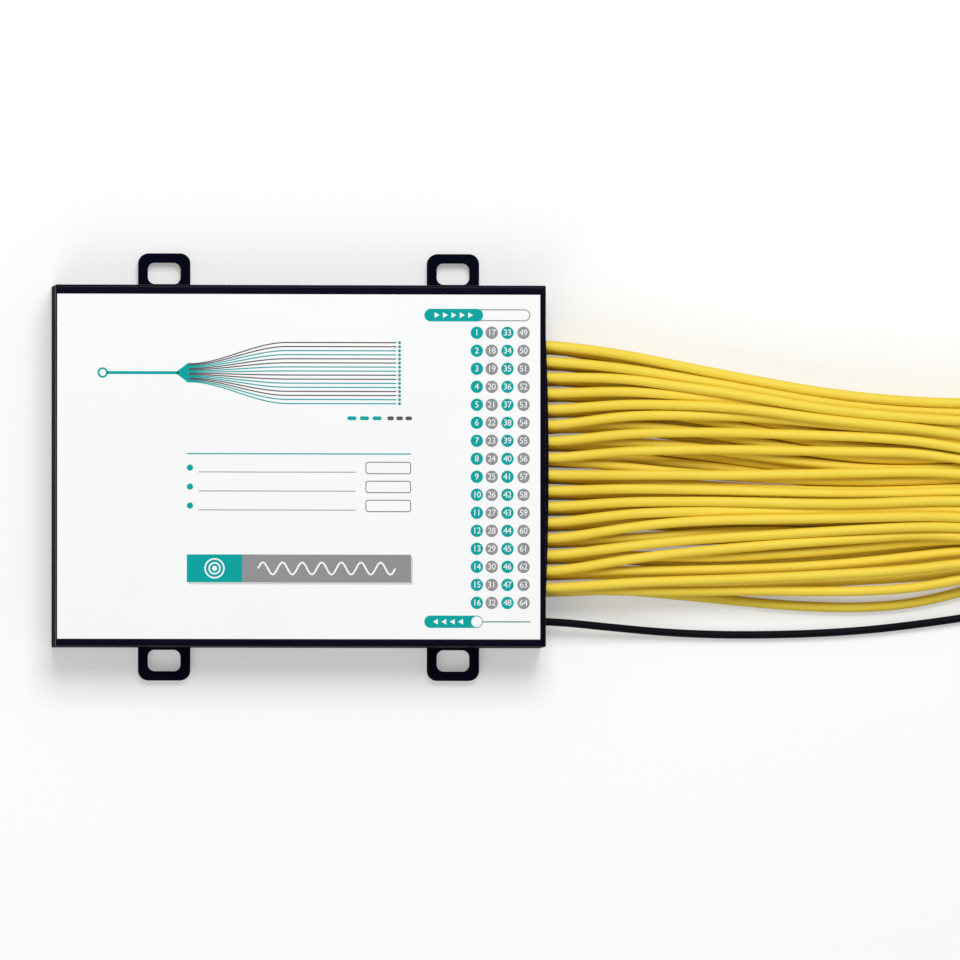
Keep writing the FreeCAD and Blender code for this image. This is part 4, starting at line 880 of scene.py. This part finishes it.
def ridge_tree():
    """A node tree that sets a bar on every point of a grid in several layers."""
    tree, sizes = sized_tree("ridge_bank", RIDGE_SIZES)
    grid = point_grid(tree, sizes["Along"], sizes["Along Pitch"], sizes["Across"], sizes["Across Pitch"])
    rise = tree.nodes.new("ShaderNodeCombineXYZ")
    tree.links.new(sizes["Layer Pitch"], rise.inputs["Z"])
    layers = tree.nodes.new("GeometryNodeMeshLine")
    tree.links.new(sizes["Layers"], layers.inputs["Count"])
    tree.links.new(sizes["Middle"], layers.inputs["Start Location"])
    tree.links.new(rise.outputs[0], layers.inputs["Offset"])
    bar = tree.nodes.new("GeometryNodeMeshCube")
    tree.links.new(sizes["Bar"], bar.inputs["Size"])
    bars = on_points(tree, on_points(tree, layers.outputs["Mesh"], grid), bar.outputs["Mesh"])
    return close_tree(tree, bars, sizes["Finish"])


RIDGES = ridge_tree()
print(len(RIDGE_SIZES), "inputs for a bank of ridges")

# %% [markdown]
# A bank takes its place from the box of the housings, so it follows the CAD part. One run of the tree
# covers all the tops, and another all the undersides.

# %% Finger ridges
RECESS_MIDDLE, RECESS_DEPTH = 8.5, 0.25
RIDGE_COUNT, RIDGE_PITCH, RIDGE_BAR = 6, 1.35, (0.55, 3.9, 0.2)


def ridge_bank(name, node, across, layers, side):
    """The ridges on one side of a block of housings; side is 1 for the tops and -1 for the undersides."""
    low, high = [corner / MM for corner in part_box(node)]
    face = high.z if side > 0 else low.z
    middle = (low.x + RECESS_MIDDLE, (low.y + high.y) / 2, face - side * (RECESS_DEPTH - RIDGE_BAR[2] / 2))
    made = grown(name, RIDGES, {
        "Along": RIDGE_COUNT, "Along Pitch": RIDGE_PITCH * MM, "Across": across,
        "Across Pitch": PLUG_PITCH * MM, "Layers": layers, "Layer Pitch": PLUG_LEVEL * MM,
        "Middle": [value * MM for value in middle], "Bar": [value * MM for value in RIDGE_BAR],
        "Finish": FINISHES["plug_green"]})
    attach(made, "root")
    print(name, len(made.data.polygons), "faces")


for side, end in ((1, "top"), (-1, "under")):
    ridge_bank("output_plug_ridges_" + end, "sc_housings_layer_1", ROWS, LEVELS, side)
    ridge_bank("input_plug_ridges_" + end, "input_plug_housing", 1, 1, side)

# %% [markdown]
# A tongue of tape and a film of ink are the same kind of body: a flat outline pulled up into a closed slab.

# %% A slab from an outline
def slab(mesh, outline, low, high):
    """Adds a closed slab to a mesh; the outline runs counter-clockwise, all in millimetres."""
    under = [mesh.verts.new((x * MM, y * MM, low * MM)) for x, y in outline]
    over = [mesh.verts.new((x * MM, y * MM, high * MM)) for x, y in outline]
    mesh.faces.new(over)
    mesh.faces.new(list(reversed(under)))
    for k in range(len(outline)):
        mesh.faces.new((under[k - 1], under[k], over[k], over[k - 1]))


trial = bmesh.new()
slab(trial, [(0, 0), (1, 0), (0, 1)], 0, 1)
print("a slab of three corners has", len(trial.faces), "faces")
trial.free()

# %% [markdown]
# A strap of this kind is closed by laying its end over itself. The end is a short tongue with a round tip,
# one tape thick, so it is a bevelled slab on top of each strap.

# %% Strap ends
STRAP_PLACES, STRAP_WIDTH, TAPE = (348.0, 380.0, 412.0), 12.0, 1.0
TONGUE_START, TONGUE_END, TONGUE_INSET, TIP_STEPS = 8.0, 43.0, 0.25, 16


def strap_ends():
    """The tongues that close the straps, as one piece."""
    mesh = bmesh.new()
    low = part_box("hank_ties")[1].z / MM
    half = STRAP_WIDTH / 2 - TONGUE_INSET
    tip = TONGUE_END - half
    turns = [math.pi * step / TIP_STEPS for step in range(1, TIP_STEPS)]
    for x in STRAP_PLACES:
        round_end = [(x + half * math.cos(turn), tip + half * math.sin(turn)) for turn in turns]
        outline = [(x + half, TONGUE_START), (x + half, tip), *round_end, (x - half, tip),
                   (x - half, TONGUE_START)]
        slab(mesh, outline, low, low + TAPE)
    level = [edge for edge in mesh.edges if edge.verts[0].co.z == edge.verts[1].co.z]
    bmesh.ops.bevel(mesh, geom=level, offset=0.2 * MM, segments=2, affect="EDGES")
    made = built("strap_ends", mesh, FINISHES["strap_fabric"])
    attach(made, "root")
    print("strap ends,", len(made.data.polygons), "faces")


strap_ends()

# %% [markdown]
# ## Printed face
# The label carries a port map: a numbered disc for each output in four columns, a bar above them and one
# for the input below. Left of the map stand a drawing of one line that parts into many, three blank value
# fields and a banner. An ink is a film, so each print is a very thin closed solid on the label. An image
# texture would be easier, but it would blur close up, and this part uses none.

# %% Heights and outlines of the print
INK_HEIGHT = 0.015
LABEL_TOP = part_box("face_label")[1].z / MM


def film_floor(film):
    """The height at which an ink starts; film counts the inks that lie beneath."""
    return LABEL_TOP + film * INK_HEIGHT


def rounded_bar(left, right, low, high, radius, steps=8):
    """The outline of a bar with round corners, counter-clockwise."""
    corners = [(right - radius, low + radius, -90), (right - radius, high - radius, 0),
               (left + radius, high - radius, 90), (left + radius, low + radius, 180)]
    points = []
    for x, y, first in corners:
        for step in range(steps + 1):
            angle = math.radians(first + 90 * step / steps)
            points.append((x + radius * math.cos(angle), y + radius * math.sin(angle)))
    return points


def disc(x, y, radius, steps=32):
    """The outline of a disc."""
    turns = [2 * math.pi * step / steps for step in range(steps)]
    return [(x + radius * math.cos(a), y + radius * math.sin(a)) for a in turns]


print("inks are", INK_HEIGHT, "mm thick and lie", round(LABEL_TOP, 2), "mm up")

# %% [markdown]
# A slab can't have a hole, so a ring is a row of short pieces between two outlines, and a drawn line is a
# row of pieces that share their ends.

# %% Rings, lines and ink
def ring_between(outer, inner):
    """The ring between two outlines of as many points, as four-sided pieces."""
    return [[outer[k - 1], outer[k], inner[k], inner[k - 1]] for k in range(len(outer))]


def printed(name, outlines, ink, film=0):
    """One ink's outlines as thin solids on the label."""
    mesh = bmesh.new()
    low = film_floor(film)
    for outline in outlines:
        slab(mesh, outline, low, low + INK_HEIGHT)
    made = built(name, mesh, INKS[ink])
    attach(made, "root")
    return made


def band(middle, width):
    """A line of even width along a list of points, as quads that share their ends."""
    sides = []
    for k, (x, y) in enumerate(middle):
        ahead, behind = middle[min(k + 1, len(middle) - 1)], middle[max(k - 1, 0)]
        dx, dy = ahead[0] - behind[0], ahead[1] - behind[1]
        reach = width / 2 / math.hypot(dx, dy)
        sides.append(((x + dy * reach, y - dx * reach), (x - dy * reach, y + dx * reach)))
    return [[a[0], b[0], b[1], a[1]] for a, b in zip(sides, sides[1:])]


print("a ring of a disc has", len(ring_between(disc(0, 0, 2), disc(0, 0, 1))), "pieces")

# %% [markdown]
# The discs, arrow heads and dots of the print come from one tree: a grid of points and an upright prism on
# each, with as many sides as the shape has. Many sides make a disc, and three make an arrow head.

# %% A stamp on every point of a grid
STAMP_SIZES = [("Columns", "Int"), ("Rows", "Int"), ("Column Pitch", "Float"), ("Row Pitch", "Float"),
               ("Middle", "Vector"), ("Sides", "Int"), ("Radius", "Float"), ("Thickness", "Float"),
               ("Turn", "Vector"), ("Ink", "Material")]


def stamp_tree():
    """A node tree that sets an upright prism on every point of a grid."""
    tree, sizes = sized_tree("stamp_grid", STAMP_SIZES)
    grid = point_grid(tree, sizes["Columns"], sizes["Column Pitch"], sizes["Rows"], sizes["Row Pitch"])
    move = tree.nodes.new("GeometryNodeTransform")
    tree.links.new(grid, move.inputs["Geometry"])
    tree.links.new(sizes["Middle"], move.inputs["Translation"])
    stamp = tree.nodes.new("GeometryNodeMeshCylinder")
    tree.links.new(sizes["Sides"], stamp.inputs["Vertices"])
    tree.links.new(sizes["Radius"], stamp.inputs["Radius"])
    tree.links.new(sizes["Thickness"], stamp.inputs["Depth"])
    stamps = on_points(tree, move.outputs["Geometry"], stamp.outputs["Mesh"], sizes["Turn"])
    return close_tree(tree, stamps, sizes["Ink"])


STAMP_GRID = stamp_tree()


def stamped(name, ink, film, columns, rows, pitch, middle, sides, radius, turn=0.0):
    """Stamps of one ink on a grid; sizes in millimetres, the turn in degrees."""
    height = film_floor(film) + INK_HEIGHT / 2
    made = grown(name, STAMP_GRID, {
        "Columns": columns, "Rows": rows, "Column Pitch": pitch[0] * MM, "Row Pitch": pitch[1] * MM,
        "Middle": (middle[0] * MM, middle[1] * MM, height * MM), "Sides": sides, "Radius": radius * MM,
        "Thickness": INK_HEIGHT * MM, "Turn": (0.0, 0.0, math.radians(turn)), "Ink": INKS[ink]})
    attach(made, "root")
    return made


print(len(STAMP_SIZES), "inputs for a grid of stamps")

# %% [markdown]
# The port map has four columns of sixteen discs, teal and grey in turn. Each colour takes two columns, so
# one run of the tree prints each colour.

# %% Port discs
DISC_X = [50.2, 54.45, 58.95, 63.55]
DISC_TOP_Y, DISC_PITCH, DISC_RADIUS = 38.0, 5.13, 1.78
disc_middle = DISC_TOP_Y - (ROWS - 1) / 2 * DISC_PITCH
for ink, first, last in (("teal", DISC_X[0], DISC_X[2]), ("grey", DISC_X[1], DISC_X[3])):
    discs = stamped("port_discs_" + ink, "ink_" + ink, 0, 2, ROWS, (last - first, DISC_PITCH),
                    ((first + last) / 2, disc_middle), 32, DISC_RADIUS)
    print(discs.name, len(discs.data.polygons), "faces")

# %% [markdown]
# The numbers could be drawn as outlines, but a text object already has them. Each one becomes a mesh and
# goes to its disc, and all sixty-four are joined into one piece.

# %% Port numbers
NUMERAL_SIZE, NUMERAL_SPACING, NUMERAL_DROP = 2.5, 0.92, 0.02


def disc_place(number):
    """The centre of one port's disc; the ports run down each column."""
    column, row = divmod(number - 1, ROWS)
    return DISC_X[column], DISC_TOP_Y - row * DISC_PITCH


def numerals():
    """White numbers on the discs."""
    mesh = bmesh.new()
    for number in range(1, ROWS * LEVELS + 1):
        x, y = disc_place(number)
        text = bpy.data.curves.new("numeral", "FONT")
        text.body = str(number)
        text.size = NUMERAL_SIZE * MM
        text.align_x = "CENTER"
        text.align_y = "CENTER"
        text.space_character = NUMERAL_SPACING
        text.extrude = INK_HEIGHT / 2 * MM
        text.resolution_u = 3
        holder = placed("numeral", text)
        holder.location = (x * MM, (y - NUMERAL_DROP) * MM, (film_floor(1) + INK_HEIGHT / 2) * MM)
        bpy.context.view_layer.update()
        flat = bpy.data.meshes.new_from_object(holder.evaluated_get(bpy.context.evaluated_depsgraph_get()))
        flat.transform(holder.matrix_world)
        mesh.from_mesh(flat)
        bpy.data.objects.remove(holder)
        bpy.data.meshes.remove(flat)
    made = built("port_numerals", mesh, INKS["ink_white"])
    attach(made, "root")
    print(made.name, len(made.data.polygons), "faces")


numerals()

# %% [markdown]
# The bars above and below the map say which side is which. They carry no word, only small arrow heads
# that point out of the case or into it. An arrow head is a stamp of three sides, turned by half a turn
# where it points the other way.

# %% Output and input bars
OUTPUT_BAR = (35.2, 52.0, 41.2, 44.8)
INPUT_BAR = (35.2, 51.9, -46.1, -42.6)
BAR_END, ARROW, ARROW_PITCH = 65.5, 0.92, (2.4, 0)
FRAME_LINE, FRAME_INSET, FRAME_UNDER = 0.3, 0.1, 3.0
LEAD_START, LEAD_LINE, END_DISC_X, END_DISC_RADIUS = 50.0, 0.38, 50.15, 1.53
OUTPUT_ARROWS_X, INPUT_ARROWS_X = 43.4, 42.2


def frame_outline(left, right, low, high, radius, line):
    """The outline of a bar, as a ring of short pieces."""
    return ring_between(rounded_bar(left, right, low, high, radius),
                        rounded_bar(left + line, right - line, low + line, high - line, radius - line))


teal_end, bar_low, bar_high = OUTPUT_BAR[1:]
half = (bar_high - bar_low) / 2
frame_ring = frame_outline(teal_end - FRAME_UNDER, BAR_END, bar_low + FRAME_INSET, bar_high - FRAME_INSET,
                           half - 0.12, FRAME_LINE)
printed("output_bar_frame", frame_ring, "ink_grey")
printed("output_bar", [rounded_bar(*OUTPUT_BAR, half - 0.02)], "ink_teal", 1)
printed("input_bar", [rounded_bar(*INPUT_BAR, 1.7)], "ink_teal", 1)
in_middle = (INPUT_BAR[2] + INPUT_BAR[3]) / 2
out_middle = (bar_low + bar_high) / 2
lead = rounded_bar(LEAD_START, BAR_END, in_middle - LEAD_LINE / 2, in_middle + LEAD_LINE / 2, 0.1)
printed("input_line", [lead], "ink_slate")
printed("input_disc", [disc(END_DISC_X, in_middle, END_DISC_RADIUS)], "ink_white", 2)
stamped("output_arrows", "ink_white", 2, 5, 1, ARROW_PITCH, (OUTPUT_ARROWS_X, out_middle), 3, ARROW)
stamped("input_arrows", "ink_white", 2, 4, 1, ARROW_PITCH, (INPUT_ARROWS_X, in_middle), 3, ARROW, 180)
print("bars at", out_middle, "and", round(in_middle, 2), "mm")

# %% [markdown]
# The drawing at the top stands for what the part does: one line parts into sixteen. Each branch is a
# smooth step, whose slope is nil at both ends, so that it joins its straight run without a corner.

# %% A branch
DRAWING_Y, LINE_START, KNOT, FAN_END, LINE_END = 26.4, -56.6, -32.0, -4.0, 27.2
BRANCHES, BRANCH_PITCH, KNOT_PITCH = 16, 1.16, 0.34


def branch(x0, y0, x1, y1, steps=22):
    """A smooth step from one height to another."""
    points = []
    for step in range(steps + 1):
        part = step / steps
        points.append((x0 + (x1 - x0) * part, y0 + (y1 - y0) * part * part * (3 - 2 * part)))
    return points


print("the outer branch rises", round((BRANCHES - 1) / 2 * (BRANCH_PITCH - KNOT_PITCH), 2), "mm")

# %% [markdown]
# One thick line comes in, a wedge divides it, and sixteen thin lines swing apart, run on side by side and
# end in dots. They are printed in two inks, two lines and two in turn.

# %% One line into many
LEAD_WIDTH, BRANCH_WIDTH = 0.85, 0.34
START_GAP, LINE_STOP, START_RING = 1.3, 3.0, (1.5, 0.95)
WEDGE_LENGTH, WEDGE_NECK, WEDGE_MOUTH = 3.4, 0.42, 3.0
DOT_GAP, DOT_RADIUS = 0.9, 0.44


def splitting_drawing():
    """The line, its ring, the wedge and the branches."""
    y = DRAWING_Y
    line = band([(LINE_START + START_GAP, y), (KNOT - LINE_STOP, y)], LEAD_WIDTH)
    printed("splitting_line", line, "ink_teal")
    start = ring_between(*[disc(LINE_START, y, radius) for radius in START_RING])
    printed("splitting_start", start, "ink_teal")
    wedge = [(KNOT - WEDGE_LENGTH, y - WEDGE_NECK), (KNOT, y - WEDGE_MOUTH), (KNOT, y + WEDGE_MOUTH),
             (KNOT - WEDGE_LENGTH, y + WEDGE_NECK)]
    printed("splitting_wedge", [wedge], "ink_teal")
    for ink, turns in (("teal", (0, 1)), ("dark", (2, 3))):
        lines = []
        for k in range(BRANCHES):
            if k % 4 not in turns:
                continue
            place = k - (BRANCHES - 1) / 2
            run = branch(KNOT, y + place * KNOT_PITCH, FAN_END, y + place * BRANCH_PITCH)
            lines += band(run + [(LINE_END, run[-1][1])], BRANCH_WIDTH)
        printed("splitting_branches_" + ink, lines, "ink_" + ink)


splitting_drawing()
dots = (LINE_END + DOT_GAP, DRAWING_Y)
stamped("splitting_dots", "ink_teal", 1, 1, BRANCHES, (0, BRANCH_PITCH), dots, 20, DOT_RADIUS)
print("one line into", BRANCHES)

# %% [markdown]
# Under the drawing come a row of short dashes, a rule and three value fields. A field has a bullet, a line
# to write on and an empty box, which is what a blank form has. The boxes are outlines only.

# %% Blank value fields
FIELD_Y, FIELD_PITCH = -0.6, 5.4
FIELD_LEFT, FIELD_RIGHT = -32.6, 31.4
DASH_LOW, DASH_HIGH, RULE_LOW, RULE_HIGH = 13.0, 14.1, 3.2, 3.55
WRITE_START, WRITE_END, WRITE_LOW, WRITE_HIGH = 3.4, 15.6, 1.35, 1.1
BOX_LEFT, BOX_HALF, BOX_CORNER, BOX_LINE, BULLET = 18.4, 1.75, 0.8, 0.24, 0.9

for ink, length, starts in (("teal", 2.6, (13.2, 16.8, 20.4)), ("dark", 1.9, (24.6, 27.2, 29.8))):
    dashes = [rounded_bar(x, x + length, DASH_LOW, DASH_HIGH, 0.5) for x in starts]
    printed("dashes_" + ink, dashes, "ink_" + ink)
printed("rule", [rounded_bar(FIELD_LEFT, FIELD_RIGHT, RULE_LOW, RULE_HIGH, 0.1)], "ink_teal")
field_lines, field_boxes = [], []
for k in range(3):
    y = FIELD_Y - FIELD_PITCH * k
    field_lines.append(rounded_bar(FIELD_LEFT + WRITE_START, WRITE_END, y - WRITE_LOW, y - WRITE_HIGH, 0.1))
    field_boxes += frame_outline(BOX_LEFT, FIELD_RIGHT, y - BOX_HALF, y + BOX_HALF, BOX_CORNER, BOX_LINE)
printed("field_lines", field_lines, "ink_grey")
printed("field_boxes", field_boxes, "ink_dark")
bullets = (FIELD_LEFT + BULLET, FIELD_Y - FIELD_PITCH)
stamped("field_bullets", "ink_teal", 0, 1, 3, (0, FIELD_PITCH), bullets, 24, BULLET)
print(len(field_lines), "blank fields")

# %% [markdown]
# The banner has a pale shadow, a teal part and a grey part. On the teal part stand the rings of a fibre's
# end, core and cladding, and along the grey part runs an even wave, as light does in the core.

# %% Banner
BANNER_LOW, BANNER_HIGH, BANNER_SPLIT = -33.2, -25.3, -16.8
CORE, RING_EDGES, RING_LINE = 0.7, (1.75, 2.9), 0.42
WAVES, WAVE_HEIGHT, WAVE_MARGIN, WAVE_LINE = 7, 1.7, 4.5, 0.5

banner_y = (BANNER_LOW + BANNER_HIGH) / 2
shadow = rounded_bar(FIELD_LEFT + 0.5, FIELD_RIGHT + 0.5, BANNER_LOW - 0.6, BANNER_HIGH - 0.5, 0.5)
printed("banner_shadow", [shadow], "ink_shadow")
printed("banner_teal", [rounded_bar(FIELD_LEFT, BANNER_SPLIT, BANNER_LOW, BANNER_HIGH, 0.02)], "ink_teal", 1)
printed("banner_grey", [rounded_bar(BANNER_SPLIT, FIELD_RIGHT, BANNER_LOW, BANNER_HIGH, 0.02)], "ink_grey", 1)
ring_x = (FIELD_LEFT + BANNER_SPLIT) / 2
rings = [disc(ring_x, banner_y, CORE)]
for edge in RING_EDGES:
    rings += ring_between(disc(ring_x, banner_y, edge, 48), disc(ring_x, banner_y, edge - RING_LINE, 48))
printed("fibre_rings", rings, "ink_white", 2)
wave_left, wave_right = BANNER_SPLIT + WAVE_MARGIN, FIELD_RIGHT - WAVE_MARGIN
wave, wave_steps = [], WAVES * 24
for step in range(wave_steps + 1):
    part = step / wave_steps
    wave.append((wave_left + (wave_right - wave_left) * part,
                 banner_y + WAVE_HEIGHT * math.sin(2 * math.pi * WAVES * part)))
printed("light_wave", band(wave, WAVE_LINE), "ink_white", 2)
print(WAVES, "waves on the banner")

# %% [markdown]
# ## Floor and light
# The floor is a pale sheet just under the part. To the camera it glows a little and adds that to the
# light that it scatters, which keeps it white with the part's shadow still on it.

# %% Floor
FLOOR_GLOW, FLOOR_TONE = 0.32, 0.7
FLOOR_REACH, FLOOR_Z = 6.0, -0.0002


def floor_finish():
    """Plain scattered light, and a glow for the camera, for reflections and for what shows through."""
    material = bpy.data.materials.new("floor")
    material.use_nodes = True
    tree = material.node_tree
    tree.nodes.clear()
    scatter = tree.nodes.new("ShaderNodeBsdfDiffuse")
    scatter.inputs["Color"].default_value = (FLOOR_TONE, FLOOR_TONE, FLOOR_TONE, 1)
    glow = tree.nodes.new("ShaderNodeEmission")
    path = tree.nodes.new("ShaderNodeLightPath").outputs
    seen = reckoned(tree, "MAXIMUM", path["Is Camera Ray"], path["Is Glossy Ray"])
    seen = reckoned(tree, "MAXIMUM", seen, path["Is Transmission Ray"])
    tree.links.new(reckoned(tree, "MULTIPLY", seen, FLOOR_GLOW), glow.inputs["Strength"])
    both = tree.nodes.new("ShaderNodeAddShader")
    tree.links.new(scatter.outputs[0], both.inputs[0])
    tree.links.new(glow.outputs[0], both.inputs[1])
    tree.links.new(both.outputs[0], tree.nodes.new("ShaderNodeOutputMaterial").inputs["Surface"])
    return material


def pale_floor():
    """A large plane that looks white and takes soft shadows."""
    data = bpy.data.meshes.new("floor")
    corners = [(x * FLOOR_REACH, y * FLOOR_REACH, FLOOR_Z) for x, y in ((-1, -1), (1, -1), (1, 1), (-1, 1))]
    data.from_pydata(corners, [], [(0, 1, 2, 3)])
    data.materials.append(floor_finish())
    placed("floor", data)


pale_floor()
print("the floor is", 2 * FLOOR_REACH, "m wide")

# %% [markdown]
# One wide soft lamp above and behind the case gives the long highlight on every cable. A weaker one from
# the front keeps the shadows open. A small lamp would be simpler to aim, but its shadows would be hard.

# %% Lamps
LAMPS = [
    ("key_lamp", (0.1, 0.75, 1.25), (0.1, 0.0, 0.0), 0.7, 13.8),
    ("fill_lamp", (-0.5, -0.9, 1.1), (0.0, 0.0, 0.0), 0.9, 4.4),
]


def soft_lamp(name, place, target, size, power):
    """A square area lamp turned to a point."""
    data = bpy.data.lights.new(name, "AREA")
    data.size = size
    data.energy = power
    lamp = placed(name, data)
    lamp.location = place
    lamp.rotation_mode = "QUATERNION"
    lamp.rotation_quaternion = (Vector(target) - Vector(place)).to_track_quat("-Z", "Y")


for lamp in LAMPS:
    soft_lamp(*lamp)
print(len(LAMPS), "lamps")

# %% [markdown]
# The world is white to the camera and gives the part a weaker, even light from all sides. If it gave all
# the white it shows, the gaps between the cables would have no depth.

# %% World
WORLD_LIGHT = 0.32


def white_world(strength):
    """White to the camera, and even light of the given strength on the part."""
    world = bpy.data.worlds.new("world")
    bpy.context.scene.world = world
    world.use_nodes = True
    tree = world.node_tree
    back = tree.nodes["Background"]
    back.inputs["Color"].default_value = (1, 1, 1, 1)
    path = tree.nodes.new("ShaderNodeLightPath")
    pick = tree.nodes.new("ShaderNodeMix")
    pick.data_type = "FLOAT"
    pick.inputs["A"].default_value = strength
    pick.inputs["B"].default_value = 1.0
    tree.links.new(path.outputs["Is Camera Ray"], pick.inputs["Factor"])
    tree.links.new(pick.outputs["Result"], back.inputs["Strength"])


white_world(WORLD_LIGHT)
bpy.context.scene.view_settings.view_transform = "Standard"
print("world light", WORLD_LIGHT)

# %% [markdown]
# ## Finish
# The last line brings the scene up to date.

# %% Update
bpy.context.view_layer.update()
